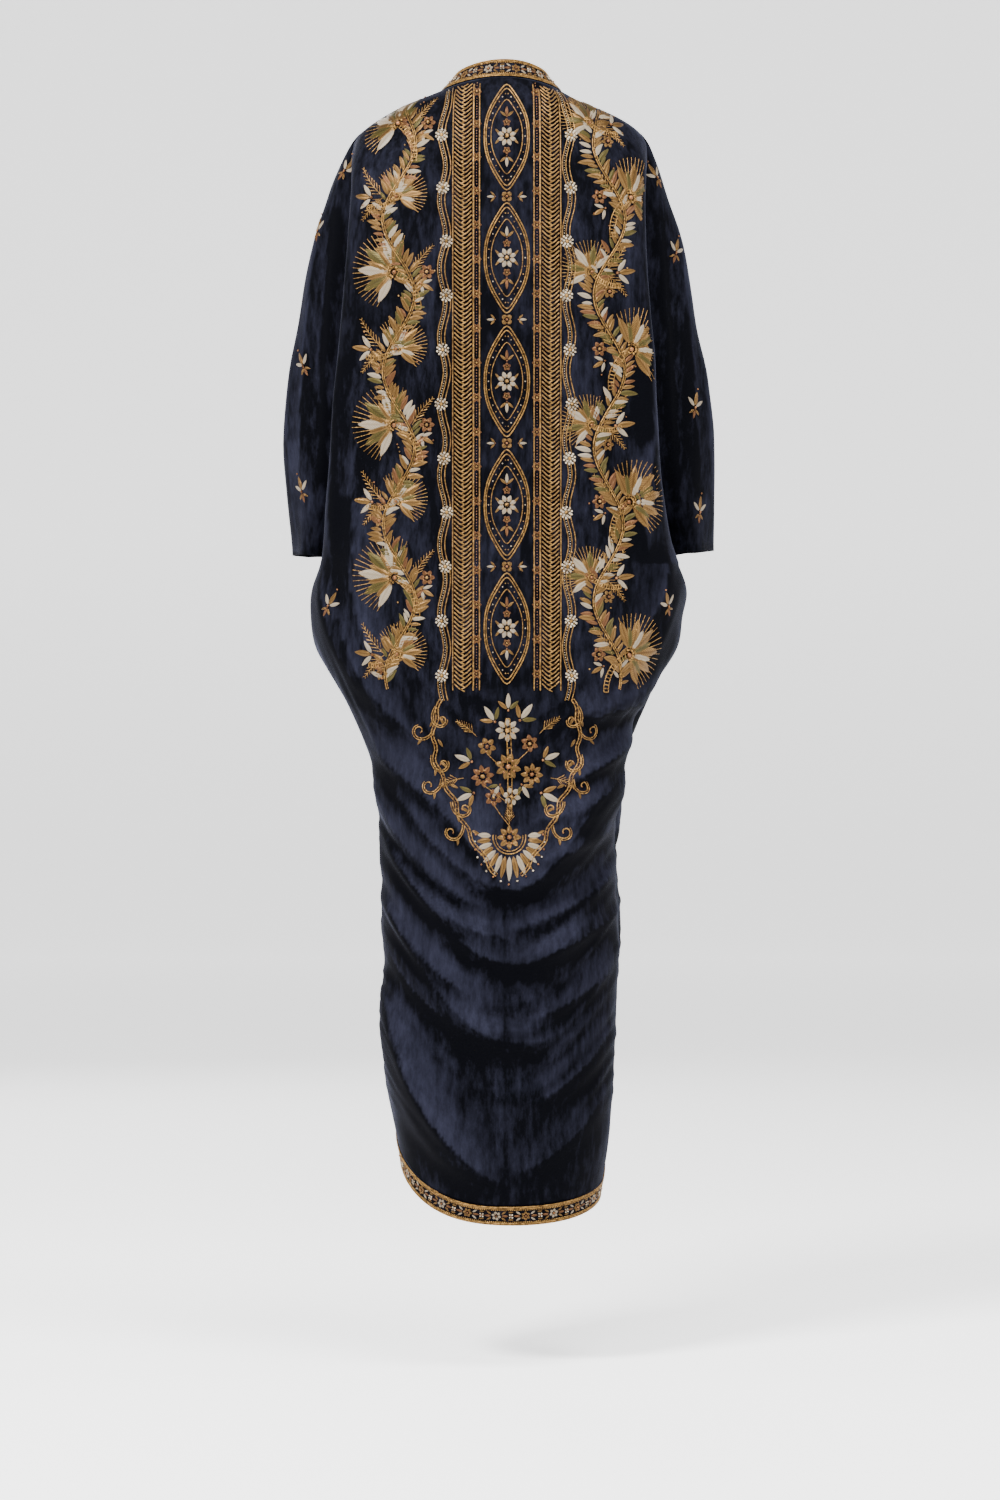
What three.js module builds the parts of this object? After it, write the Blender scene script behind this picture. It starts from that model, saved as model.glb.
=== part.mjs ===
// A velvet kaftan with an open front and wide dropped sleeves, as worn: a hollow cocoon of cloth on a
// general figure. Millimetres. +X is the wearer's left, +Y the back and +Z up. The origin lies between the
// two neck points of the shoulders, where the cloth is carried.
import * as THREE from "three";

// Driving dimensions
const CLOTH = 2; // velvet wall
const BAND_CLOTH = 2.8; // embroidered band wall
const BAND_PROUD = 0.5; // how far the band stands above the velvet
const BAND_WIDTH = 22;
const NECK_BAND = 25; // height of the band behind the neck
const SEAM_GAP = 0.3;
const NECK_DROP = 10; // the back of the neckline lies this far above the neck points
const SHOULDER_END = -50; // height where the shoulder seam ends and the armholes start
const CUFF = -576; // height of the underarm corner, where the sleeves end
const BACK_HEM = -1373; // lower edge of the velvet at the centre back
const HEM_RISE_FROM = -960; // the rows start to follow the hem's curve below this height
const BACK_COLUMNS = 16;
const FRONT_COLUMNS = 10;
const SLEEVE_COLUMNS = 14;
const LOWER_ROWS = 44;
const BLEND_ROWS = 5; // rows over which the band turns from standing at the neck to lying on the front
const SEAM_CURL = 0.38; // the share of a panel, next to its side seam, that curls in to the seam
const SEAM_STILL = 0.2; // the share next to the side seam where the folds die out

// How much the velvet's edge rises from the centre back to the side seam and to the front corner.
const HEM_RISE = { left: { side: 73, corner: 138 }, right: { side: 28, corner: 98 } };
const HEM_BEND = 1.08; // shape of that rise across the back
// Lean of the neck band, in degrees, behind the neck and at the neck points.
const NECK_LEAN = { back: 22, side: 50 };

// Turns rows of numbers under named columns into a list of rows with those names.
function table(columns, rows) {
  const names = columns.split(" ");
  return rows.map((row) => Object.fromEntries(names.map((name, i) => [name, row[i]])));
}

// The garment's plan section at each height: half-widths of the back to the wearer's left and right, depths
// to the back and the front, the corner's squareness, the front's half-width and the seam's as shares of the
// back's, and where the back and front panels end at the side, above the cuff as the armhole's two edges.
const BODY = table("z left right back front square fore seam seamBack seamFront", [
  [12, 72, 64, 66, 58, 2.0, 1.0, 1.0, 0, 0],
  [0, 79, 70, 74, 62, 2.0, 1.0, 1.0, 0, 0],
  [-15, 122, 100, 84, 68, 2.0, 1.0, 1.0, 0, 0],
  [-33, 154, 145, 93, 76, 2.0, 1.0, 1.0, 0, 0],
  [-50, 180, 169, 100, 84, 2.1, 1.0, 1.0, 0, 0],
  [-85, 198, 184, 109, 98, 2.3, 0.98, 0.96, 24, -30],
  [-130, 208, 190, 117, 110, 2.5, 0.94, 0.9, 34, -46],
  [-200, 216, 193, 124, 120, 2.6, 0.9, 0.86, 36, -58],
  [-330, 225, 197, 126, 126, 2.6, 0.87, 0.83, 30, -64],
  [-440, 233, 206, 126, 128, 2.6, 0.86, 0.82, 16, -62],
  [-520, 241, 219, 130, 130, 2.6, 0.87, 0.83, -8, -48],
  [-576, 250, 231, 136, 133, 2.5, 0.9, 0.86, -26, -26],
  [-612, 251, 240, 140, 136, 2.4, 0.96, 0.95, -26, -26],
  [-650, 246, 225, 144, 138, 2.3, 0.99, 0.98, -22, -22],
  [-690, 235, 216, 148, 138, 2.3, 1.0, 1.0, -16, -16],
  [-735, 208, 179, 150, 136, 2.2, 1.0, 1.0, -8, -8],
  [-785, 180, 156, 146, 132, 2.2, 1.0, 1.0, 0, 0],
  [-845, 153, 142, 136, 127, 2.2, 1.0, 1.0, 0, 0],
  [-920, 148, 136, 127, 122, 2.2, 1.0, 1.0, 0, 0],
  [-1040, 149, 141, 122, 118, 2.2, 1.0, 1.0, 0, 0],
  [-1200, 150, 136, 117, 112, 2.2, 1.0, 1.0, 0, 0],
  [-1300, 133, 129, 112, 106, 2.2, 1.0, 1.0, 0, 0],
  [-1395, 112, 112, 106, 98, 2.2, 1.0, 1.0, 0, 0],
]);

// The sleeves' outer line: how far out and how far back it lies on each side, and the half-depth of the
// hanging sleeve.
const SLEEVE = table("z left right mid half", [
  [-50, 180, 169, 0, 0],
  [-69, 194, 182, 0, 12],
  [-85, 202, 188, -2, 24],
  [-118, 216, 198, -4, 40],
  [-172, 233, 215, -8, 54],
  [-270, 254, 234, -16, 64],
  [-350, 265, 247, -22, 68],
  [-430, 275, 260, -30, 71],
  [-500, 268, 259, -38, 74],
  [-576, 265, 261, -46, 77],
]);
const CUFF_RISE = { left: 4, right: 10 }; // the cuff's outer point above the underarm corner
// The sleeve's fullest points at its back and front: how far out from the armhole, and how deep, at its top
// and cuff.
const FULLNESS = {
  top: { out: 0.8, back: 0.74, front: 0.74 },
  cuff: { out: 0.66, back: 0.62, front: 0.82 },
};

// Half the gap between the velvet edges of the two fronts, with the bands standing in it.
const OPENING = table("z left right", [
  [0, 79, 72],
  [-15, 81, 75],
  [-40, 79, 75],
  [-80, 75, 72],
  [-130, 70, 68],
  [-200, 64, 62],
  [-300, 57, 56],
  [-450, 50, 50],
  [-600, 47, 47],
  [-800, 49, 48],
  [-950, 55, 53],
  [-1080, 66, 62],
  [-1180, 84, 76],
  [-1280, 112, 98],
]);

// The largest folds of the body, seen from the back or the front: the start, middle and end of each crest,
// the height at the crest, and the widths above and below it. Those that hang from hip to hip carry the drape.
const FOLDS = table("face x1 z1 x2 z2 x3 z3 height above below", [
  // the cocoon hangs over the skirt in one deep swag, lowest under the point of the embroidery
  ["back", 186, -775, -4, -985, -150, -800, 22, 75, 17],
  // swags across the skirt below it
  ["back", 172, -858, 14, -1072, -140, -965, 17, 46, 20],
  ["back", 162, -950, 42, -1150, -92, -1146, 14, 38, 20],
  ["back", 158, -1075, 92, -1262, -14, -1352, 13, 36, 22],
  // folds gathered at the right hip
  ["back", -206, -722, -130, -762, -60, -776, 15, 30, 14],
  ["back", -172, -790, -112, -838, -48, -868, 12, 24, 14],
  ["back", -160, -846, -100, -898, -36, -922, 10, 24, 14],
  ["back", -150, -1040, -90, -1088, -10, -1112, 7, 26, 20],
  // upright folds at the sides of the back
  ["back", -172, -240, -172, -440, -192, -640, 10, 16, 16],
  ["back", -122, -330, -140, -480, -152, -650, -8, 16, 16],
  ["back", 198, -240, 205, -410, 204, -600, 7, 18, 18],
  ["back", 160, -330, 170, -460, 176, -600, -6, 16, 16],
  ["back", 222, -610, 196, -716, 122, -806, 9, 26, 20],
  // the fronts, with folds like those of the back
  ["front", 205, -640, 150, -790, 50, -840, 14, 40, 18],
  ["front", 176, -800, 130, -930, 50, -990, 13, 36, 20],
  ["front", 160, -960, 120, -1085, 70, -1140, 11, 34, 20],
  ["front", -200, -650, -150, -780, -50, -810, 14, 40, 18],
  ["front", -160, -790, -120, -915, -50, -970, 13, 36, 20],
  ["front", -152, -940, -112, -1060, -62, -1120, 11, 34, 20],
  ["front", 128, -140, 135, -350, 118, -640, 9, 22, 22],
  ["front", -122, -150, -130, -360, -112, -640, 9, 22, 22],
  ["front", 84, -210, 80, -420, 74, -720, -7, 16, 16],
  ["front", -82, -230, -78, -430, -72, -720, -7, 16, 16],
]);
const COURSE_STEPS = 20;
// The shares of a crest over which it rises and dies away. It starts a little before the first point.
const FOLD_ENDS = { before: 0.05, start: 0.15, end: 0.25, after: 0.02 };
const FOLD_SIDEWAYS = 0.6; // how far a fold's push turns outwards at the side of the body

// Upright folds of each sleeve: where round the sleeve, from its back seam at 0 to its front seam at 1, and
// the depth of the trough or height of the ridge at the cuff.
const SLEEVE_FOLDS = table("share height width", [
  [0.3, -7, 0.1],
  [0.48, 5, 0.12],
  [0.8, -5, 0.09],
]);

const SIDES = { left: 1, right: -1 };
const QUARTER = Math.PI / 2;

const mix = (a, b, share) => a + (b - a) * share;

function smooth(from, to, value) {
  const share = Math.min(1, Math.max(0, (value - from) / (to - from)));
  return share * share * (3 - 2 * share);
}

// A column of a table at a height between its rows, on a curve that doesn't overshoot them.
function at(rows, z, column) {
  const last = rows.length - 1;
  if (z >= rows[0].z) return rows[0][column];
  if (z <= rows[last].z) return rows[last][column];
  const i = rows.findIndex((row) => row.z < z) - 1;
  const secant = (k) => (rows[k + 1][column] - rows[k][column]) / (rows[k + 1].z - rows[k].z);
  const slope = (k) => {
    if (k === 0 || k === last) return secant(Math.min(k, last - 1));
    const [before, after] = [secant(k - 1), secant(k)];
    return before * after <= 0 ? 0 : (2 * before * after) / (before + after);
  };
  const span = rows[i + 1].z - rows[i].z;
  const t = (z - rows[i].z) / span;
  const [a, b] = [rows[i][column], rows[i + 1][column]];
  return (
    a * (1 + 2 * t) * (1 - t) ** 2 +
    b * t * t * (3 - 2 * t) +
    slope(i) * span * t * (1 - t) ** 2 -
    slope(i + 1) * span * t * t * (1 - t)
  );
}

// Each fold's course as points in the plane it is seen in, with the share of its height at each.
const courses = FOLDS.map((fold) => {
  const [start, end] = [new THREE.Vector2(fold.x1, fold.z1), new THREE.Vector2(fold.x3, fold.z3)];
  const pull = new THREE.Vector2(fold.x2, fold.z2).multiplyScalar(2).addScaledVector(start, -0.5);
  const curve = new THREE.QuadraticBezierCurve(start, pull.addScaledVector(end, -0.5), end);
  return curve.getPoints(COURSE_STEPS).map((point, i) => {
    const share = i / COURSE_STEPS;
    const rising = smooth(-FOLD_ENDS.before, FOLD_ENDS.start, share);
    return { point, fade: rising * smooth(-FOLD_ENDS.after, FOLD_ENDS.end, 1 - share) };
  });
});

// How far the folds push the cloth out at a point seen from the back or the front.
function foldAt(face, x, z) {
  return FOLDS.reduce((sum, fold, i) => {
    if (fold.face !== face) return sum;
    let nearest = null;
    let least = Infinity;
    for (let k = 0; k < COURSE_STEPS; k += 1) {
      const [a, b] = [courses[i][k], courses[i][k + 1]];
      const [ax, az] = [b.point.x - a.point.x, b.point.y - a.point.y];
      const share = ((x - a.point.x) * ax + (z - a.point.y) * az) / (ax * ax + az * az);
      const t = Math.min(1, Math.max(0, share));
      const [dx, dz] = [x - a.point.x - t * ax, z - a.point.y - t * az];
      const far = Math.hypot(dx, dz);
      if (far < least) {
        least = far;
        nearest = { over: dz > 0, fade: mix(a.fade, b.fade, t) };
      }
    }
    const width = nearest.over ? fold.above : fold.below;
    return sum + fold.height * nearest.fade * Math.exp(-((least / width) ** 2));
  }, 0);
}

// A point of the back or front, at an angle round from the centre back (0) over the side seam (a quarter
// turn) to the centre front.
function bodyPoint(part, side, angle, z) {
  const inFront = part === "front";
  const width = at(BODY, z, side);
  const power = 2 / at(BODY, z, "square");
  const sine = Math.sin(angle) ** power;
  const cosine = Math.abs(Math.cos(angle)) ** power;
  const reach = inFront ? at(BODY, z, "fore") : 1;
  const fromSeam = Math.abs(angle - QUARTER) / QUARTER;
  const curl = 1 - smooth(0, SEAM_CURL, fromSeam);
  const seamY = at(BODY, z, inFront ? "seamFront" : "seamBack");
  const x = width * (reach * sine - (reach - at(BODY, z, "seam")) * curl);
  const y = inFront
    ? seamY - (at(BODY, z, "front") + seamY) * cosine
    : seamY + (at(BODY, z, "back") - seamY) * cosine;
  const point = new THREE.Vector3(SIDES[side] * x, y, z);
  const sideways = SIDES[side] * sine * FOLD_SIDEWAYS;
  const out = new THREE.Vector3(sideways, inFront ? -cosine : cosine, 0).normalize();
  return point.addScaledVector(out, foldAt(part, point.x, z) * smooth(0, SEAM_STILL, fromSeam));
}

// Angles that space points evenly along a level section of the body.
function spreadAngles(part, side, from, to, z, count) {
  const steps = 80;
  const lengths = [0];
  let before = bodyPoint(part, side, from, z);
  for (let i = 1; i <= steps; i += 1) {
    const here = bodyPoint(part, side, mix(from, to, i / steps), z);
    lengths.push(lengths[i - 1] + here.distanceTo(before));
    before = here;
  }
  return Array.from({ length: count + 1 }, (_, k) => {
    const want = (lengths[steps] * k) / count;
    const i = Math.max(1, lengths.findIndex((length) => length >= want - 1e-9));
    const share = (want - lengths[i - 1]) / Math.max(1e-9, lengths[i] - lengths[i - 1]);
    return mix(from, to, (i - 1 + share) / steps);
  });
}

// The angle at which the front panel ends, where the body is as wide as half the opening.
function edgeAngle(side, z) {
  const half = Math.min(at(OPENING, z, side), at(BODY, z, side) * 0.999);
  let [low, high] = [QUARTER, 2 * QUARTER];
  for (let i = 0; i < 40; i += 1) {
    const middle = (low + high) / 2;
    if (Math.abs(bodyPoint("front", side, middle, z).x) > half) low = middle;
    else high = middle;
  }
  return z >= 0 ? QUARTER : high;
}

// Heights of the rows at the centre back: close together on the shoulders and where the drape lies.
const rowHeights = [
  ...[0, -8, -18, -32],
  ...[SHOULDER_END, -64, -82, -104, -132, -168, -212, -262, -316, -370, -424, -476, -528],
];
const CUFF_ROW = rowHeights.push(CUFF) - 1;
const SHOULDER_ROW = rowHeights.indexOf(SHOULDER_END);
for (let i = 1; i <= LOWER_ROWS; i += 1) rowHeights.push(mix(CUFF, BACK_HEM, i / LOWER_ROWS));

const followsHem = (z) => smooth(HEM_RISE_FROM, BACK_HEM, z);

// One panel's rows of points, from the centre back to the side or from the side to the front edge.
function panelRows(side, part) {
  return rowHeights.map((height, row) => {
    const follow = followsHem(height);
    const rise = HEM_RISE[side];
    if (part === "back") {
      const level = mix(height, height + rise.side / 2, follow);
      return spreadAngles(part, side, 0, QUARTER, level, BACK_COLUMNS).map((angle) => {
        const neck = row === 0 ? NECK_DROP * Math.cos(angle) ** 2 : 0;
        const up = follow * rise.side * (1 - Math.cos(angle)) ** HEM_BEND;
        return bodyPoint(part, side, angle, height + neck + up);
      });
    }
    const edge = edgeAngle(side, height + follow * rise.corner);
    const level = height + (follow * (rise.side + rise.corner)) / 2;
    return spreadAngles(part, side, QUARTER, edge, level, FRONT_COLUMNS).map((angle, column) => {
      const up = follow * mix(rise.side, rise.corner, column / FRONT_COLUMNS);
      return bodyPoint(part, side, angle, height + up);
    });
  });
}

// One sleeve's rows: a loop from the back of the armhole round the arm to its front.
function sleeveRows(side) {
  const sign = SIDES[side];
  return rowHeights.slice(SHOULDER_ROW, CUFF_ROW + 1).map((z, row, rows) => {
    const start = bodyPoint("back", side, QUARTER, z);
    const end = bodyPoint("front", side, QUARTER, z);
    if (row === 0) return Array.from({ length: SLEEVE_COLUMNS + 1 }, () => start.clone());
    const out = sign * at(SLEEVE, z, side);
    const [mid, half] = [at(SLEEVE, z, "mid"), at(SLEEVE, z, "half")];
    const down = row / (rows.length - 1);
    const full = (way) => mix(FULLNESS.top[way], FULLNESS.cuff[way], smooth(0, 0.5, down));
    const x = mix(start.x, out, full("out"));
    const curve = new THREE.CatmullRomCurve3([
      start,
      new THREE.Vector3(x, mid + half * full("back"), z),
      new THREE.Vector3(out, mid, z),
      new THREE.Vector3(x, mid - half * full("front"), z),
      end,
    ]);
    return curve.getSpacedPoints(SLEEVE_COLUMNS).map((point, column) => {
      const share = column / SLEEVE_COLUMNS;
      const fold = SLEEVE_FOLDS.reduce(
        (sum, each) => sum + each.height * Math.exp(-(((share - each.share) / each.width) ** 2)),
        0,
      );
      const rim = Math.sin(Math.PI * share);
      const outward = new THREE.Vector3(sign * rim, Math.cos(Math.PI * share), 0).normalize();
      point.addScaledVector(outward, fold * smooth(0.05, 0.9, down) * rim);
      point.z += CUFF_RISE[side] * rim * smooth(0.5, 1, down);
      return point;
    });
  });
}

// A grid is rows of points with the hand that turns its faces outwards.
const grids = {};
for (const side of Object.keys(SIDES)) {
  const hand = SIDES[side];
  grids["back_" + side] = { rows: panelRows(side, "back"), hand };
  grids["front_" + side] = { rows: panelRows(side, "front"), hand };
  grids["sleeve_" + side] = { rows: sleeveRows(side), hand };
}

// Points that lie together on two panels have the same place.
const place = (point) => point.toArray().map((value) => Math.round(value * 50)).join();

// Adds the normals of a grid's faces up at each of their corners.
function addNormals({ rows, hand }, sums) {
  for (let r = 0; r + 1 < rows.length; r += 1) {
    for (let c = 0; c + 1 < rows[r].length; c += 1) {
      const corners = [rows[r][c], rows[r][c + 1], rows[r + 1][c + 1], rows[r + 1][c]];
      const across = corners[2].clone().sub(corners[0]);
      const normal = corners[3].clone().sub(corners[1]).cross(across).multiplyScalar(-hand);
      corners.forEach((corner) => {
        const key = place(corner);
        if (!sums.has(key)) sums.set(key, new THREE.Vector3());
        sums.get(key).add(normal);
      });
    }
  }
}

// The velvet's whole edge as one chain: down the left front, round the hem and up the right front.
const bottomRow = rowHeights.length - 1;
const panel = (name, side) => grids[name + "_" + side].rows;
const frontEdge = (side) => [
  ...panel("front", side).map((row) => row[FRONT_COLUMNS]),
  ...panel("front", side)[bottomRow].slice(0, -1).reverse(),
];
const backHem = (side) => panel("back", side)[bottomRow].slice(1, -1);
const chain = [
  ...frontEdge("left"),
  ...backHem("left").reverse(),
  panel("back", "left")[bottomRow][0],
  ...backHem("right"),
  ...frontEdge("right").reverse(),
];
const neckline = [...panel("back", "right")[0].slice(1).reverse(), ...panel("back", "left")[0]];

// The neck band's upper edge: it stands behind the neck and leans further over at the shoulders.
const neckTop = neckline.map((point, i) => {
  const aside = Math.abs(2 * (i / (neckline.length - 1)) - 1);
  const lean = THREE.MathUtils.degToRad(mix(NECK_LEAN.back, NECK_LEAN.side, aside ** 2));
  const inward = new THREE.Vector3(-point.x, -point.y, 0).normalize();
  return point.clone().addScaledVector(inward, NECK_BAND * Math.sin(lean)).add(
    new THREE.Vector3(0, 0, NECK_BAND * Math.cos(lean)),
  );
});

// The band's outer edge: off each point of the chain, square to its course in the surface of the cloth.
const panelNormals = new Map();
Object.entries(grids).forEach(([name, grid]) => {
  if (!name.startsWith("sleeve")) addNormals(grid, panelNormals);
});
const chainEnd = chain.length - 1;
const outerChain = chain.map((point, i) => {
  const before = chain[Math.max(0, i - 1)];
  const after = chain[Math.min(chainEnd, i + 1)];
  const normal = panelNormals.get(place(point)).clone().normalize();
  const off = after.clone().sub(before).cross(normal).normalize();
  const onLeft = i < chain.length / 2;
  const neckTip = neckTop[onLeft ? neckTop.length - 1 : 0];
  const neckOff = neckTip.clone().sub(chain[onLeft ? 0 : chainEnd]).normalize();
  const share = smooth(0, BLEND_ROWS, onLeft ? i : chainEnd - i);
  const width = mix(NECK_BAND, BAND_WIDTH, share);
  return point.clone().addScaledVector(off.lerp(neckOff, 1 - share).normalize(), width);
});

const hemStart = frontEdge("left").length - 1;
const hemEnd = chainEnd - hemStart;
const stretch = (from, to) => [chain.slice(from, to + 1), outerChain.slice(from, to + 1)];
grids.neck_band = { rows: [neckTop, neckline], hand: 1, band: true };
grids.front_band_left = { rows: stretch(0, hemStart), hand: -1, band: true };
grids.hem_band = { rows: stretch(hemStart, hemEnd), hand: -1, band: true };
grids.front_band_right = { rows: stretch(hemEnd, chainEnd), hand: -1, band: true };

const sharedNormals = new Map();
Object.values(grids).forEach((grid) => addNormals(grid, sharedNormals));

// The normals of one grid's points. Next to a seam they lean as the neighbour's do, so that the two walls
// meet in a mitre, except in a deep crease, where each wall keeps to its own side.
function normalsOf(grid) {
  const own = new Map();
  addNormals(grid, own);
  return grid.rows.map((row) =>
    row.map((point) => {
      const alone = own.get(place(point)).clone().normalize();
      const shared = sharedNormals.get(place(point)).clone().normalize();
      return alone.lerp(shared, smooth(0.35, 0.9, alone.dot(shared))).normalize();
    }),
  );
}

// Draws a grid's border in by half the seam gap, square to the shared normal and towards the next point inside.
function drawnIn(rows) {
  const lastRow = rows.length - 1;
  return rows.map((row, r) =>
    row.map((point, c) => {
      const normal = sharedNormals.get(place(point)).clone().normalize();
      const inside = [];
      if (r === 0) inside.push(rows[1][c]);
      if (r === lastRow) inside.push(rows[lastRow - 1][c]);
      if (c === 0) inside.push(row[1]);
      if (c === row.length - 1) inside.push(row[c - 1]);
      return inside.reduce((moved, next) => {
        const way = next.clone().sub(point).projectOnPlane(normal);
        return way.lengthSq() < 1e-6 ? moved : moved.add(way.setLength(SEAM_GAP / 2));
      }, point.clone());
    }),
  );
}

// A closed wall of cloth on a grid: the outer points, the same points moved in by the thickness, and a rim
// round both.
function wall(grid) {
  const { rows, hand, band } = grid;
  const [thickness, proud] = band ? [BAND_CLOTH, BAND_PROUD] : [CLOTH, 0];
  const columns = rows[0].length;
  const normals = normalsOf(grid);
  const inset = drawnIn(rows);
  const positions = [];
  for (const depth of [proud, proud - thickness]) {
    inset.forEach((row, r) =>
      row.forEach((point, c) => {
        positions.push(...point.clone().addScaledVector(normals[r][c], depth).toArray());
      }),
    );
  }
  const layer = rows.length * columns;
  const faces = [];
  const quad = (a, b, c, d) => faces.push(...(hand > 0 ? [a, b, c, a, c, d] : [a, c, b, a, d, c]));
  for (let r = 0; r + 1 < rows.length; r += 1) {
    for (let c = 0; c + 1 < columns; c += 1) {
      const [a, b] = [r * columns + c, r * columns + c + 1];
      const [d, e] = [a + columns, b + columns];
      quad(a, b, e, d);
      quad(layer + a, layer + d, layer + e, layer + b);
    }
  }
  // The rim's faces are split the same way on both sides of a seam, so that two pieces meet without a
  // clash.
  for (let c = 0; c + 1 < columns; c += 1) {
    const low = (rows.length - 1) * columns + c;
    quad(c + 1, c, layer + c, layer + c + 1);
    quad(low + 1, layer + low + 1, layer + low, low);
  }
  for (let r = 0; r + 1 < rows.length; r += 1) {
    const [first, last] = [r * columns, r * columns + columns - 1];
    quad(first + columns, layer + first + columns, layer + first, first);
    quad(last + columns, last, layer + last, layer + last + columns);
  }
  const geometry = new THREE.BufferGeometry();
  geometry.setAttribute("position", new THREE.Float32BufferAttribute(positions, 3));
  geometry.setIndex(faces);
  geometry.computeVertexNormals();
  return geometry;
}

const velvet = new THREE.MeshStandardMaterial({ color: 0x0b0e1c, roughness: 0.9, metalness: 0 });
const goldwork = new THREE.MeshStandardMaterial({ color: 0x9c7a3c, roughness: 0.45, metalness: 0.6 });

const kaftan = new THREE.Group();
for (const [name, grid] of Object.entries(grids)) {
  const mesh = new THREE.Mesh(wall(grid), grid.band ? goldwork : velvet);
  mesh.name = name;
  kaftan.add(mesh);
}

export default kaftan;
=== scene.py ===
# %% [markdown]
# # A velvet kaftan, seen from behind
# The real garment is silk velvet, hung from the shoulders in a wide cocoon that is drawn in to a narrow
# skirt. Gold thread, beads and small padded leaves cover its back, and a beaded band runs round its edges.
# This lesson dresses the rigid model that the frame holds: the panels become smooth cloth with finer folds,
# and the embroidery is laid on that cloth stitch by stitch.

# %% Load the frame
import math
import random

import bmesh
import bpy
import numpy as np
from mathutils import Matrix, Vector, noise
from mathutils.bvhtree import BVHTree
from mathutils.kdtree import KDTree


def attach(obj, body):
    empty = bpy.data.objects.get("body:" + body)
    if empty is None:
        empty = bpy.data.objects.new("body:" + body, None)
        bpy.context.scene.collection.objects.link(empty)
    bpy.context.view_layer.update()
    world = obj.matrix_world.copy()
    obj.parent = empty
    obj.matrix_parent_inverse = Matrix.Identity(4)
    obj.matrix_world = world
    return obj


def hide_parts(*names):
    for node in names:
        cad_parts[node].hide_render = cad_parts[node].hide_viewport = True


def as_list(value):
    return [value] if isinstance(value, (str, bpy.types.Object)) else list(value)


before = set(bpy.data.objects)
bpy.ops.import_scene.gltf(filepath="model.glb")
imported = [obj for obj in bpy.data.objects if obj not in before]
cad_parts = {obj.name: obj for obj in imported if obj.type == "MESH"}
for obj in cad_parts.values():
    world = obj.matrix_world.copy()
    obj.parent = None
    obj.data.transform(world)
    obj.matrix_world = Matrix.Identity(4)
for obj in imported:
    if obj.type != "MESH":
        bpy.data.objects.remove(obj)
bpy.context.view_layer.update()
MM = 0.001
print("the frame holds", len(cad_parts), "nodes")

# %% [markdown]
# A few small tools come first: they put a new object in the scene, turn a bmesh or a live object to a plain
# mesh, read a mesh's points, and sort faces or edges that hang together.

# %% Small tools
def placed(name, data):
    made = bpy.data.objects.new(name, data)
    bpy.context.collection.objects.link(made)
    return made


def opened(*meshes):
    """A bmesh that holds the given meshes."""
    bm = bmesh.new()
    for mesh in meshes:
        bm.from_mesh(mesh)
    return bm


def closed(bm, name):
    """The plain mesh of a bmesh, which is freed."""
    mesh = bpy.data.meshes.new(name)
    bm.to_mesh(mesh)
    bm.free()
    return mesh


def applied(live):
    """The mesh that an object's modifiers or curve settings make; the object itself goes."""
    bpy.context.view_layer.update()
    mesh = bpy.data.meshes.new_from_object(live.evaluated_get(bpy.context.evaluated_depsgraph_get()))
    bpy.data.objects.remove(live)
    return mesh


def points_of(mesh):
    at = np.empty(len(mesh.vertices) * 3)
    mesh.vertices.foreach_get("co", at)
    return at.reshape(-1, 3)


def hanging_together(items, neighbours):
    """Lists of the items that can be reached from each other."""
    left, lists = set(items), []
    for item in items:
        if item not in left:
            continue
        found, todo = [], [item]
        left.discard(item)
        while todo:
            here = todo.pop()
            found.append(here)
            beyond = [other for other in neighbours(here) if other in left]
            left.difference_update(beyond)
            todo.extend(beyond)
        lists.append(found)
    return lists


print("six small tools are ready")

# %% [markdown]
# The camera stands level behind the garment, so far away that the figure keeps its proportions. Its height
# and its sideways place put the garment where the picture has it.

# %% Camera
CAMERA_AT = (0.006, 5.72, -0.816)
LENS = 110.6
SENSOR = 36
camera_data = bpy.data.cameras.new("camera")
camera_data.lens = LENS
camera_data.sensor_width = SENSOR
camera = placed("camera", camera_data)
camera.location = CAMERA_AT
camera.rotation_euler = (math.radians(90), 0, math.radians(180))
bpy.context.scene.camera = camera
print("camera lens", LENS, "mm")

# %% [markdown]
# A studio backdrop is one sheet of paper: floor, a round cove and wall. Extruding one edge along that
# profile makes it in a single piece, so no line shows behind the garment. It is pale, and it isn't part of
# the object.

# %% Backdrop
FLOOR = -1.573
STAGE_HALF = 14.0
WALL = -11.0
WALL_TOP = 7.0
COVE = 1.6


def extruded_profile(name, profile, width):
    bm = bmesh.new()
    first = bm.verts.new((-width, *profile[0]))
    second = bm.verts.new((width, *profile[0]))
    edges = [bm.edges.new((first, second))]
    for (y0, z0), (y1, z1) in zip(profile, profile[1:]):
        made = bmesh.ops.extrude_edge_only(bm, edges=edges)["geom"]
        edges = [g for g in made if isinstance(g, bmesh.types.BMEdge)]
        verts = [g for g in made if isinstance(g, bmesh.types.BMVert)]
        bmesh.ops.translate(bm, vec=(0, y1 - y0, z1 - z0), verts=verts)
    bmesh.ops.recalc_face_normals(bm, faces=bm.faces)
    return placed(name, closed(bm, name))


cove = [(WALL - COVE * math.sin(t), FLOOR + COVE * (1 - math.cos(t))) for t in np.linspace(0, math.pi / 2, 14)]
backdrop = extruded_profile("backdrop", [(STAGE_HALF, FLOOR), *cove, (WALL - COVE, WALL_TOP)], STAGE_HALF)
for face in backdrop.data.polygons:
    face.use_smooth = True
print("backdrop with", len(backdrop.data.polygons), "faces")

# %% [markdown]
# Soft studio light comes from large panels: one on each side of the camera, one above, and a weak one from
# each flank that grazes the folds, because velvet shows its nap where the light skims it.

# %% Lights
MIDDLE = Vector((0, 0, -0.7))


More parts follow.
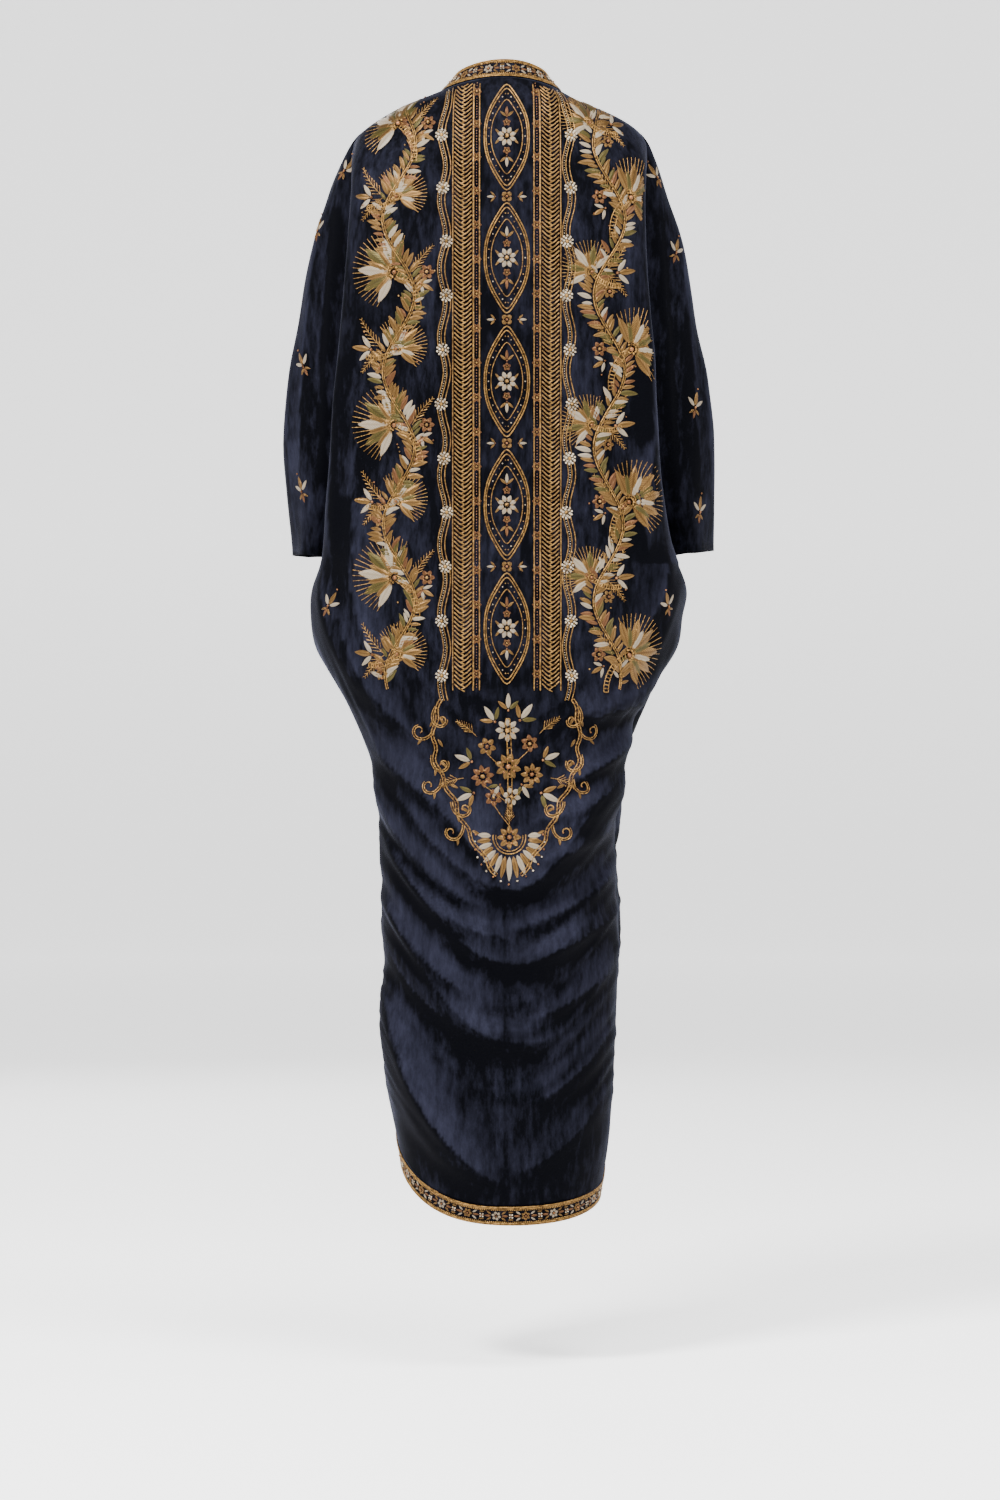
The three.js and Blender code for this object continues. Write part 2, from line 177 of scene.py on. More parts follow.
def light_panel(name, at, size, power):
    data = bpy.data.lights.new(name, "AREA")
    data.shape = "SQUARE"
    data.size = size
    data.energy = power
    panel = placed(name, data)
    panel.location = at
    panel.rotation_euler = (MIDDLE - Vector(at)).to_track_quat("-Z", "Y").to_euler()


light_panel("key", (2.0, 3.0, 2.7), 1.1, 560)
light_panel("fill", (-3.2, 3.2, 0.5), 1.6, 130)
light_panel("top", (-0.6, 1.4, 3.0), 1.6, 200)
light_panel("front", (1.2, -4.5, 1.0), 2.0, 90)
light_panel("flank_left", (3.4, -0.4, 0.0), 1.6, 70)
light_panel("flank_right", (-3.4, -0.4, 0.0), 1.6, 70)
world = bpy.data.worlds.new("studio")
bpy.context.scene.world = world
world.use_nodes = True
background = world.node_tree.nodes["Background"]
background.inputs["Color"].default_value = (0.93, 0.93, 0.94, 1)
background.inputs["Strength"].default_value = 0.4
print("six light panels")

# %% [markdown]
# Shader groups hold the effects that several finishes share. The first is the nap of velvet: streaks where
# the pile is brushed another way, and a fine grain. It also adds the painted light and shade of the folds. The
# second is couched cord, whose small coils are each a little lighter or darker. The third is satin stitch:
# slanted ridges that run from a leaf's vein to its edge. It puts painted light on the stitches, and painted
# shade between them, in the vein and along the edge.

# %% Shader groups
def group_with(name, colours, numbers):
    """A shader group with colour and number inputs, and the outputs Color and Height."""
    tree = bpy.data.node_groups.new(name, "ShaderNodeTree")
    for label in colours:
        tree.interface.new_socket(label, in_out="INPUT", socket_type="NodeSocketColor")
    for label, value in numbers.items():
        tree.interface.new_socket(label, in_out="INPUT", socket_type="NodeSocketFloat").default_value = value
    tree.interface.new_socket("Color", in_out="OUTPUT", socket_type="NodeSocketColor")
    tree.interface.new_socket("Height", in_out="OUTPUT", socket_type="NodeSocketFloat")
    return tree, tree.nodes.new("NodeGroupInput").outputs, tree.nodes.new("NodeGroupOutput").inputs


def node(tree, kind, values=(), **settings):
    """A new node; each input gets a value, or a link from another node's output."""
    made = tree.nodes.new(kind)
    for key, value in settings.items():
        setattr(made, key, value)
    for key, value in dict(values).items():
        if isinstance(value, bpy.types.NodeSocket):
            tree.links.new(value, made.inputs[key])
        else:
            made.inputs[key].default_value = value
    return made


def math_node(tree, operation, *values):
    return node(tree, "ShaderNodeMath", dict(enumerate(values)), operation=operation).outputs["Value"]


def ranged(tree, value, low, high):
    values = {"Value": value, "From Min": low, "From Max": high}
    return node(tree, "ShaderNodeMapRange", values).outputs["Result"]


def noise_at(tree, place, scale, detail, **more):
    values = {"Vector": place, "Scale": scale, "Detail": detail, **more}
    return node(tree, "ShaderNodeTexNoise", values).outputs["Fac"]


def toned(tree, out, tone, dark, light, height):
    """Joins the colour between dark and light for a tone from 0 to 1, and a height, to a group's outputs."""
    colour = node(tree, "ShaderNodeMix", {"Factor": tone, "A": dark, "B": light}, data_type="RGBA")
    tree.links.new(colour.outputs["Result"], out["Color"])
    tree.links.new(height, out["Height"])


def nap_and_fold_light_group():
    tree, given, out = group_with("brushed nap", ["Dark", "Brushed And Lit"], {"Painted Fold Light": 0.0, "Streak Scale": 9.0})
    place = node(tree, "ShaderNodeTexCoord").outputs["Object"]
    stretch = node(tree, "ShaderNodeMapping", {"Vector": place, "Scale": (1.6, 1.6, 0.42)}).outputs["Vector"]
    patches = noise_at(tree, stretch, given["Streak Scale"], 7.0, Roughness=0.68, Distortion=0.7)
    streaks = noise_at(tree, stretch, 85.0, 4.0, Roughness=0.7)
    both = math_node(tree, "MULTIPLY", patches, streaks)
    # Painted fold light from the cloth's attribute moves the nap toward its lit colour.
    nap_and_fold_light = math_node(tree, "MULTIPLY_ADD", given["Painted Fold Light"], 0.11, both)
    pile = noise_at(tree, place, 900.0, 2.0)
    toned(tree, out, ranged(tree, nap_and_fold_light, 0.19, 0.56), given["Dark"], given["Brushed And Lit"], pile)
    return tree


def cord_group():
    tree, given, out = group_with("couched cord", ["Light", "Shade"], {"Grain": 520.0})
    place = node(tree, "ShaderNodeTexCoord").outputs["Object"]
    coils = node(tree, "ShaderNodeTexVoronoi", {"Vector": place, "Scale": given["Grain"]}).outputs
    each = node(tree, "ShaderNodeSeparateColor", {"Color": coils["Color"]}).outputs["Red"]
    height = math_node(tree, "SUBTRACT", 1.0, coils["Distance"])
    toned(tree, out, each, given["Shade"], given["Light"], height)
    return tree


def satin_group():
    tree, given, out = group_with("satin stitch", ["Light", "Shade"], {"Stitches": 12.0})
    place = node(tree, "ShaderNodeUVMap", uv_map="stitch").outputs["UV"]
    split = node(tree, "ShaderNodeSeparateXYZ", {"Vector": place}).outputs
    side = math_node(tree, "ABSOLUTE", split["Y"])
    slant = math_node(tree, "MULTIPLY_ADD", side, 0.22, split["X"])
    count = math_node(tree, "MULTIPLY", slant, given["Stitches"])
    ridge = math_node(tree, "PINGPONG", count, 0.5)
    # Painted shade in the vein and along the edge of each leaf, and between its stitches.
    middle = math_node(tree, "MULTIPLY", ranged(tree, side, 0.04, 0.25), ranged(tree, side, 0.98, 0.7))
    tone = math_node(tree, "MULTIPLY", math_node(tree, "MULTIPLY", ridge, 1.5), middle)
    toned(tree, out, tone, given["Shade"], given["Light"], ridge)
    return tree


NAP_AND_FOLD_LIGHT = nap_and_fold_light_group()
CORD = cord_group()
SATIN = satin_group()
print("shader groups:", NAP_AND_FOLD_LIGHT.name, CORD.name, SATIN.name)

# %% [markdown]
# Each finish keeps its own Principled BSDF. Velvet is almost black head on, and its sheen lights up at
# grazing angles. Metal thread is metallic but rough, ivory thread is plain silk, and beads are smooth.

# %% Materials
def finish(name, group, values, shader, bump):
    """A material: values for the group, values for the Principled BSDF, and a bump's strength and distance."""
    made = bpy.data.materials.new(name)
    made.use_nodes = True
    tree = made.node_tree
    body = tree.nodes["Principled BSDF"]
    for key, value in shader.items():
        body.inputs[key].default_value = value
    effect = node(tree, "ShaderNodeGroup", values, node_tree=group)
    height = effect.outputs["Height"]
    relief = node(tree, "ShaderNodeBump", {"Strength": bump[0], "Distance": bump[1], "Height": height})
    tree.links.new(effect.outputs["Color"], body.inputs["Base Color"])
    tree.links.new(relief.outputs["Normal"], body.inputs["Normal"])
    return made, effect


velvet, velvet_nap_and_fold_light = finish(
    "velvet_pile", NAP_AND_FOLD_LIGHT,
    {"Dark": (0.0004, 0.0005, 0.0013, 1), "Brushed And Lit": (0.0135, 0.0142, 0.025, 1), "Streak Scale": 9.0},
    {"Roughness": 0.8, "Sheen Weight": 0.16, "Sheen Roughness": 0.24, "Sheen Tint": (0.30, 0.32, 0.50, 1),
     "Specular IOR Level": 0.03},
    (0.5, 0.0006),
)
# The velvet's colour reads the painted light and shade of its folds from the cloth's attribute.
painted_fold_light = node(velvet.node_tree, "ShaderNodeAttribute", attribute_name="painted_fold_light")
velvet.node_tree.links.new(painted_fold_light.outputs["Fac"], velvet_nap_and_fold_light.inputs["Painted Fold Light"])

THREADS = {
    "gold": ((0.36, 0.20, 0.058, 1), (0.06, 0.029, 0.007, 1), 0.65, 0.36),
    "antique": ((0.15, 0.115, 0.02, 1), (0.03, 0.022, 0.004, 1), 0.5, 0.42),
    "ivory": ((0.48, 0.405, 0.30, 1), (0.15, 0.115, 0.075, 1), 0.05, 0.42),
    "copper": ((0.27, 0.115, 0.042, 1), (0.06, 0.024, 0.008, 1), 0.6, 0.38),
}


def thread_finishes(kind, group, extra, bump, depth=1.0):
    """One finish for each thread colour; depth below 1 makes the lit side of the thread darker."""
    made = []
    for colour, (light, shade, metal, rough) in THREADS.items():
        values = {"Light": (*(depth * c for c in light[:3]), 1), "Shade": shade, **extra}
        shader = {"Metallic": metal, "Roughness": rough, "Specular IOR Level": 0.25}
        made.append(finish(colour + kind, group, values, shader, bump)[0])
    return made


CORD_FINISH = thread_finishes("_cord", CORD, {"Grain": 520.0}, (0.6, 0.0006))
LEAF_FINISH = thread_finishes("_satin", SATIN, {"Stitches": 12.0}, (0.6, 0.0005), 0.5)
BEAD_FINISH = thread_finishes("_bead", CORD, {"Grain": 260.0}, (0.15, 0.0003))
paper, _ = finish(
    "backdrop_paper", CORD, {"Light": (0.93, 0.93, 0.93, 1), "Shade": (0.91, 0.91, 0.91, 1), "Grain": 300.0},
    {"Roughness": 0.9, "Emission Color": (1, 1, 1, 1), "Emission Strength": 0.95}, (0.02, 0.0002),
)
backdrop.data.materials.append(paper)
print("materials:", [velvet.name, *(m.name for m in CORD_FINISH + LEAF_FINISH + BEAD_FINISH)])

# %% [markdown]
# The model's panels are closed walls of loose triangles. Copies of them are merged, their triangles are
# joined back to a grid of quads, and the panels are sewn together: points that lie across a seam become
# one, and the faces inside the seam go. The free edges are creased, and a subdivision surface rounds the
# rest. Each face remembers its panel, so the garment can be taken apart again later without a gap at any
# seam.

# %% Smooth cloth
SHARP = math.radians(62)
SEAM = 0.0005
SAME_POINT = 0.00002
ANY_ANGLE = 3.1
PROBE_STEP = 3
LEVELS = 2
PANELS = ["back", "front_left", "front_right", "sleeve_left", "sleeve_right"]
HALVES = {"back": ["back_left", "back_right"]}
BANDS = ["neck_band", "front_band_left", "front_band_right", "hem_band"]


def quad_grid(node_name):
    """A node's mesh with its triangles joined back to quads."""
    bm = opened(bpy.data.objects[node_name].data)
    bmesh.ops.remove_doubles(bm, verts=bm.verts, dist=SAME_POINT)
    any_angle = {"angle_face_threshold": ANY_ANGLE, "angle_shape_threshold": ANY_ANGLE}
    bmesh.ops.join_triangles(bm, faces=bm.faces, **any_angle)
    return closed(bm, node_name + "_quads")


def along_edges(edges):
    """Points along edges, in millimetres."""
    points = []
    for edge in edges:
        a, b = edge.verts[0].co / MM, edge.verts[1].co / MM
        count = max(1, int((b - a).length / PROBE_STEP))
        points += [a.lerp(b, i / count) for i in range(count + 1)]
    return points


def sewn(name, groups):
    """One rounded mesh of several panels, and the points along its seams and free edges."""
    bm = bmesh.new()
    panel = bm.faces.layers.int.new("panel")
    for number, nodes in enumerate(groups):
        before = len(bm.faces)
        for node_name in nodes:
            bm.from_mesh(quad_grid(node_name))
        bm.faces.ensure_lookup_table()
        for face in bm.faces[before:]:
            face[panel] = number
    bmesh.ops.remove_doubles(bm, verts=bm.verts, dist=SEAM)
    between = [f for f in bm.faces if sum(len(e.link_faces) > 2 for e in f.edges) > 1]
    edges = along_edges({e for f in between for e in f.edges if f.calc_area() > 0})
    bmesh.ops.delete(bm, geom=between, context="FACES")
    crease = bm.edges.layers.float.new("crease_edge")
    sharp = [edge for edge in bm.edges if edge.calc_face_angle(0) > SHARP]
    edges += along_edges(sharp)
    for edge in sharp:
        edge[crease] = 1.0
    for face in bm.faces:
        face.smooth = True
    print(name, "grid:", len(bm.faces), "faces;", len(between), "more were taken out at seams")
    grid = placed(name, closed(bm, name))
    rounder = grid.modifiers.new("round", "SUBSURF")
    rounder.levels = rounder.render_levels = LEVELS
    return applied(grid), edges


def cloth_piece(name, mesh):
    mesh.name = name
    mesh.materials.clear()
    mesh.materials.append(velvet)
    return placed(name, mesh)


garment, garment_edges = sewn("garment", [HALVES.get(name, [name]) for name in PANELS])
bands = {name: cloth_piece(name + "_cloth", sewn(name, [[name]])[0]) for name in BANDS}
print("garment:", len(garment.polygons), "faces")

# %% [markdown]
# Finer folds go on the smooth cloth. Each is a crest with a soft side and a steep side, drawn as a curve
# through three points, as seen from behind or from the front. Both walls of the cloth move together, so it
# keeps its thickness. Painted light goes on the velvet above each crest and painted shade below it. More
# painted light goes on raised ripples and wrinkles, painted shade in their hollows and painted shadow along
# seams and free edges. All of it is kept as an attribute that the velvet's colour reads.

# %% Finer folds
# x and z of each crest's start, middle and end in millimetres, then its height, width above and width below
CREASES = {
    "back": [
        (186, -775, -4, -985, -150, -800, 4, 27, 9), (172, -858, 14, -1072, -140, -965, 4, 22, 9),
        (162, -950, 42, -1150, -92, -1146, 4, 20, 9), (158, -1075, 92, -1262, -14, -1352, 4, 20, 9),
        (-206, -722, -130, -762, -60, -776, 3, 15, 7), (-172, -790, -112, -838, -48, -868, 3, 13, 7),
        (-160, -846, -100, -898, -36, -922, 3, 13, 7), (178, -800, 62, -905, 0, -986, 6, 16, 7),
        (0, -986, -62, -950, -140, -822, 5, 14, 7), (160, -868, 100, -955, 24, -1010, 7, 14, 7),
        (158, -905, 80, -1010, -20, -1044, 6, 14, 7), (154, -985, 104, -1062, 30, -1122, 6, 14, 8),
        (150, -1040, 88, -1132, -10, -1180, 5, 16, 8), (152, -1120, 110, -1235, 40, -1322, 5, 18, 9),
        (140, -1190, 96, -1290, 20, -1345, 4, 16, 9), (-138, -850, -96, -886, -20, -905, 6, 11, 6),
        (-150, -812, -104, -842, -58, -862, 6, 10, 6), (-180, -752, -128, -772, -84, -780, 7, 12, 6),
        (-140, -905, -92, -934, -30, -952, 5, 11, 6), (-138, -958, -78, -1008, 0, -1034, 5, 12, 7),
        (-142, -1010, -92, -1046, -30, -1072, 5, 12, 7), (-138, -1075, -84, -1120, -20, -1148, 4, 14, 9),
        (-136, -1150, -84, -1215, -16, -1250, 4, 16, 10), (-128, -1230, -70, -1300, 0, -1335, 3, 16, 10),
        (-196, -560, -186, -640, -120, -722, 5, 16, 10), (-214, -600, -190, -680, -150, -716, 5, 12, 8),
        (226, -600, 206, -690, 150, -770, 5, 14, 9), (205, -640, 166, -740, 96, -806, 4, 14, 9),
        (190, -560, 176, -660, 130, -740, 4, 16, 10), (178, -420, 184, -520, 176, -620, 4, 9, 9),
        (205, -330, 212, -470, 214, -590, 4, 9, 9), (-150, -455, -164, -520, -176, -590, 6, 8, 8),
        (-176, -300, -180, -420, -178, -520, 4, 9, 9), (-96, -60, -80, -30, -62, -12, 4, 8, 8),
        (-120, -52, -98, -26, -78, -8, -3, 7, 7), (60, -500, 58, -620, 40, -720, 2, 12, 12),
    ],
    "front": [
        (190, -700, 140, -815, 56, -868, 5, 14, 8), (-188, -700, -140, -805, -56, -850, 5, 14, 8),
        (150, -850, 118, -985, 60, -1040, 5, 14, 8), (-150, -850, -116, -970, -58, -1020, 5, 14, 8),
        (150, -1000, 120, -1120, 80, -1190, 4, 14, 8), (-146, -1000, -116, -1120, -70, -1190, 4, 14, 8),
        (160, -120, 168, -330, 150, -560, 4, 12, 12), (-156, -120, -164, -330, -148, -560, 4, 12, 12),
        (106, -180, 104, -420, 96, -700, 4, 10, 10), (-102, -180, -102, -420, -94, -700, 4, 10, 10),
    ],
    "sleeve": [
        (224, -150, 246, -340, 250, -540, 5, 9, 9), (212, -130, 232, -330, 236, -560, -4, 7, 7),
        (-208, -150, -230, -340, -240, -540, 5, 9, 9), (-198, -150, -214, -340, -222, -560, -4, 7, 7),
        (262, -300, 268, -440, 258, -560, 3, 8, 8), (-244, -300, -252, -440, -252, -560, 3, 8, 8),
    ],
}
COURSE = 24
SAG = 0.0058
RIPPLE_HEIGHT, RIPPLE_PAINTED_LIGHT = 1.2, 0.35
WRINKLE_HEIGHT, WRINKLE_PAINTED_LIGHT = 2.6, 0.9
SKIRT_FROM, SKIRT_TO = (-640, -800), (-1180, -1330)
FADE_IN, FADE_OUT = (-0.05, 0.2), (-0.02, 0.28)
FULL_PAINTED_LIGHT_HEIGHT = 5
BACK_AXIS_Y, FRONT_AXIS_Y = -25, 5
SIDEWAYS = 0.45
SOFT_EDGE = 14
SEAM_SHADOW, SHADOW_WIDTH = 0.6, 0.2
MOST_PAINTED_LIGHT = 1.6
ACROSS_WALL = 0.0009
PROBES = 12
HOLE_SIDES = 12


def smoothstep(low, high, value):
    """0 at low, 1 at high, also where low is the larger of the two."""
    share = np.clip((value - low) / (high - low), 0, 1)
    return share * share * (3 - 2 * share)


def crease_at(crease, x, z):
    """How far a crease lifts the cloth at each point, and the painted light above it and painted shade below
    it there.
    """
    start, middle, end = np.reshape(crease[:6], (3, 2))
    height, above, below = crease[6:]
    pull = 2 * middle - (start + end) / 2
    nearest = np.full(x.shape, np.inf)
    over = np.zeros(x.shape, bool)
    fade = np.zeros(x.shape)
    share = np.linspace(0, 1, COURSE + 1)[:, None]
    course = (1 - share) ** 2 * start + 2 * share * (1 - share) * pull + share**2 * end
    for step in range(COURSE):
        (ax, az), (bx, bz) = course[step], course[step + 1]
        dx, dz = bx - ax, bz - az
        t = np.clip(((x - ax) * dx + (z - az) * dz) / (dx * dx + dz * dz), 0, 1)
        off_x, off_z = x - ax - t * dx, z - az - t * dz
        far = np.hypot(off_x, off_z)
        closer = far < nearest
        nearest = np.where(closer, far, nearest)
        over = np.where(closer, off_z > 0, over)
        along = (step + t) / COURSE
        fade = np.where(closer, smoothstep(*FADE_IN, along) * smoothstep(*FADE_OUT, 1 - along), fade)
    lift = height * fade * np.exp(-((nearest / np.where(over, above, below)) ** 2))
    # Painted light on the side above the crest, and painted shade below it.
    lit = np.exp(-((nearest / (2.2 * above)) ** 2))
    shaded = -1.3 * np.exp(-(((nearest - 1.2 * below) / (1.6 * below)) ** 2))
    return lift, abs(height) / FULL_PAINTED_LIGHT_HEIGHT * fade * np.where(over, lit, shaded)


def wrinkle(x, z, long, high, layer):
    return noise.noise(Vector((x / long, layer, (z - SAG * x * x) / high)))


def swag_wrinkles(at):
    """Shallow wrinkles that hang across the skirt from hip to hip, as noise drawn along those curves."""
    return np.array([wrinkle(x, z, 95, 17, 3.7) + 0.5 * wrinkle(x, z, 50, 8, 9.1) for x, _, z in at])


def soft_near(points, at):
    """0 at the given points and 1 away from them."""
    tree = KDTree(len(points))
    for index, point in enumerate(points):
        tree.insert(point, index)
    tree.balance()
    far = np.array([tree.find(Vector(p))[2] for p in at])
    return smoothstep(0, SOFT_EDGE, far)


def point_panels(mesh):
    """The number of the panel that each point belongs to."""
    panel = np.empty(len(mesh.polygons), int)
    mesh.attributes["panel"].data.foreach_get("value", panel)
    corner = np.empty(len(mesh.loops), int)
    mesh.loops.foreach_get("vertex_index", corner)
    sides = np.array([face.loop_total for face in mesh.polygons])
    owner = np.zeros(len(mesh.vertices), int)
    owner[corner] = np.repeat(panel, sides)
    return owner


def fold_finer(mesh, edges):
    """Moves the points of the sewn garment. It keeps painted light and shade for its folds, with painted
    shadow along seams and free edges, as a point attribute.
    """
    at = points_of(mesh) / MM
    owner = point_panels(mesh)
    height = np.zeros(len(at))
    tone = np.zeros(len(at))
    for face, creases in CREASES.items():
        on = np.array([name.startswith(face) for name in PANELS])[owner]
        for crease in creases:
            lift, shade = crease_at(crease, at[on, 0], at[on, 2])
            height[on] += lift
            tone[on] += shade
    ripple = np.array([noise.noise(Vector((x / 34, y / 34, z / 60))) for x, y, z in at])
    skirt = smoothstep(*SKIRT_FROM, at[:, 2]) * (1 - smoothstep(*SKIRT_TO, at[:, 2]))
    wrinkles = swag_wrinkles(at) * skirt
    height += RIPPLE_HEIGHT * ripple + WRINKLE_HEIGHT * wrinkles
    # Painted light where ripples and wrinkles rise, painted shade in their hollows.
    tone += RIPPLE_PAINTED_LIGHT * ripple + WRINKLE_PAINTED_LIGHT * wrinkles
    axis_y = np.where(owner == PANELS.index("back"), BACK_AXIS_Y, FRONT_AXIS_Y)
    out = np.stack([at[:, 0] * SIDEWAYS, at[:, 1] - axis_y, np.zeros(len(at))], axis=1)
    out /= np.linalg.norm(out, axis=1)[:, None]
    open_cloth = soft_near(edges, at)
    tone -= SEAM_SHADOW * (1 - smoothstep(0, SHADOW_WIDTH, open_cloth))
    at += out * (height * open_cloth)[:, None]
    mesh.vertices.foreach_set("co", (at * MM).ravel())
    # The painted light and shade are kept on the points for the velvet's colour.
    nap = mesh.attributes.new("painted_fold_light", "FLOAT", "POINT")
    nap.data.foreach_set("value", np.clip(tone, -MOST_PAINTED_LIGHT, MOST_PAINTED_LIGHT))
    mesh.update()


def close_seam_edges(bm):
    """A panel's seam edge gets its thickness back: a strip joins the outer wall to the inner one."""
    open_edges = [e for e in bm.edges if e.is_boundary and e.calc_length() > ACROSS_WALL]
    chains = hanging_together(open_edges, lambda edge: [n for v in edge.verts for n in v.link_edges])
    middles = [[(e.verts[0].co + e.verts[1].co) / 2 for e in chain] for chain in chains]
    strips = 0
    while len(chains) > 1:
        first = max(range(len(chains)), key=lambda k: len(chains[k]))
        probe = middles[first][:: max(1, len(middles[first]) // PROBES)]

        def apart(k):
            return sum(min((p - q).length for q in middles[k]) for p in probe)

        partner = min((k for k in range(len(chains)) if k != first), key=apart)
        made = bmesh.ops.bridge_loops(bm, edges=chains[first] + chains[partner])["faces"]
        strips += len(made)
        for k in sorted((first, partner), reverse=True):
            del chains[k], middles[k]
    bmesh.ops.holes_fill(bm, edges=[e for e in bm.edges if e.is_boundary], sides=HOLE_SIDES)
    return strips, sum(e.is_boundary for e in bm.edges)


def taken_apart(mesh):
    """The garment's panels as pieces of their own."""
    pieces = {}
    for number, name in enumerate(PANELS):
        bm = opened(mesh)
        panel = bm.faces.layers.int["panel"]
        others = [face for face in bm.faces if face[panel] != number]
        bmesh.ops.delete(bm, geom=others, context="FACES")
        strips, still_open = close_seam_edges(bm)
        print(name, "closed with", strips, "faces,", still_open, "edges still open")
        pieces[name] = cloth_piece(name + "_cloth", closed(bm, name))
    return pieces


fold_finer(garment, garment_edges)
panels = taken_apart(garment)
print("folded the cloth with", sum(map(len, CREASES.values())), "creases, in", len(panels), "pieces")

# %% [markdown]
# A real kaftan like this is embroidered before it is made up. The velvet is stretched flat in a frame, and
# cords, padded leaves and beads are worked on it. Here each piece of work is also drawn flat first, in
# millimetres: across, along, and height above the cloth. Later one step lays it on the cloth. Leaves and
# beads are patterns that are repeated, so a bmesh operator makes each pattern once.

# %% Patterns for leaves and beads
GOLD, ANTIQUE, IVORY, COPPER = range(4)


def leaf_pattern(segments, across):
    """A padded almond leaf, from (0, 0) to (1, 0), with a vein: across and height 1 at its widest."""
    bm = bmesh.new()
    bmesh.ops.create_grid(bm, x_segments=segments, y_segments=across, size=1)
    uv = bm.loops.layers.uv.new("stitch")
    for vert in bm.verts:
        along, side = (vert.co.x + 1) / 2, vert.co.y
        for loop in vert.link_loops:
            loop[uv].uv = (along, side)
        width = math.sin(math.pi * along**0.85) ** 0.8 if 0 < along < 1 else 0
        dome = (1 - side**2) ** 0.6 - 0.45 * math.exp(-((side / 0.16) ** 2))
        vert.co = (along, side * width, width**0.6 * dome - 0.15)
    return closed(bm, "leaf_pattern")


def bead_pattern():
    bm = bmesh.new()
    bmesh.ops.create_icosphere(bm, subdivisions=1, radius=0.5)
    return closed(bm, "bead_pattern")


LEAF = leaf_pattern(6, 4)
BEAD = bead_pattern()
print("leaf pattern", len(LEAF.polygons), "faces, bead pattern", len(BEAD.polygons), "faces")

# %% [markdown]
# A sheet of work collects what is drawn for one piece of cloth. Every stitch is one of three things: a cord
# that is couched down along a line, a padded leaf in satin stitch, or a bead.

# %% Drawing the work flat
def new_work():
    return {"cords": [], "leaves": [], "beads": []}


def polar(at, angle, far):
    return (at[0] + far * math.cos(math.radians(angle)), at[1] + far * math.sin(math.radians(angle)))


def cord(work, points, colour, radius=0.75, height=0.5):
    work["cords"].append((points, colour, radius, height))


def leaf(work, at, angle, length, colour, width=None, bend=0.0, puff=1.6):
    work["leaves"].append((*at, math.radians(angle), length, (width or length * 0.34) / 2, bend, puff, colour))


def bead(work, at, size, colour):
    work["beads"].append((*at, size, colour))


def arc(at, angle, length, bend, steps=6):
    """A line that leaves a point at an angle and turns by bend degrees over its length."""
    points, here = [at], at
    for i in range(steps):
        here = polar(here, angle + bend * (i + 0.5) / steps, length / steps)
        points.append(here)
    return points


def beside(points, off):
    """The same line, moved sideways."""
    out = []
    for i, (x, z) in enumerate(points):
        before, after = points[max(0, i - 1)], points[min(len(points) - 1, i + 1)]
        dx, dz = after[0] - before[0], after[1] - before[1]
        far = math.hypot(dx, dz) or 1
        out.append((x - off * dz / far, z + off * dx / far))
    return out


def heading(points, i):
    before, after = points[max(0, i - 1)], points[min(len(points) - 1, i + 1)]
    return math.degrees(math.atan2(after[1] - before[1], after[0] - before[0]))


def rosette(work, at, size, petals, colour, heart, turn=0.0):
    for i in range(petals):
        way = turn + 360 * i / petals
        leaf(work, polar(at, way, size * 0.16), way, size * 0.42, colour, width=size * 2.2 / petals)
    bead(work, at, size * 0.26, heart)
    for i in range(petals):
        bead(work, polar(at, turn + 360 * (i + 0.5) / petals, size * 0.3), size * 0.1, heart)


def flower_knot(work, at, size):
    """A little heap of white beads round a gold one."""
    bead(work, at, size * 0.34, GOLD)
    for ring, count, big in ((0.3, 6, 0.26), (0.52, 10, 0.24)):
        for i in range(count):
            bead(work, polar(at, 360 * i / count + 40 * ring, size * ring), size * big, IVORY)


def sprig(work, at, angle, size, colours):
    """Three leaves with a bead at their foot."""
    for i, turn in enumerate((-48, 0, 48)):
        long = size * (1 if turn == 0 else 0.8)
        leaf(work, polar(at, angle + turn, size * 0.08), angle + turn, long, colours[i % len(colours)])
    bead(work, at, size * 0.16, COPPER)


def feather(work, at, angle, length, bend, colour):
    """A fine stem with short straight stitches on both sides of it."""
    stem = arc(at, angle, length, bend, 8)
    cord(work, stem, colour, 0.4)
    count = int(length / 3)
    for k in range(2, count + 1):
        share = k / count
        i = min(7, int(share * 8))
        foot = stem[i + 1] if share * 8 - i > 0.5 else stem[i]
        reach = 9.5 * (1.1 - share) + 2
        for side in (-38, 38):
            cord(work, [foot, polar(foot, heading(stem, i) + side, reach)], colour, 0.35)


def rays(work, at, angle, spread, count, inner, outer):
    """Fine gold stitches that spread from a point."""
    for i in range(count):
        turn = angle + spread * (i / (count - 1) - 0.5)
        far = outer * (0.82 + 0.18 * math.cos(math.radians(turn - angle)))
        cord(work, arc(polar(at, turn, inner), turn, far - inner, 0, 4), GOLD, 0.38, 0.3)


def ribbed_stem(work, points, width):
    """A thick stem: two gold cords, with bars of twisted ivory thread between them."""
    for off in (-width / 2, width / 2):
        cord(work, beside(points, off), GOLD, 0.6)
    left, right = beside(points, width / 2 - 0.4), beside(points, 0.4 - width / 2)
    for a, b in zip(left, right):
        cord(work, [a, b], IVORY, 0.7, 0.7)


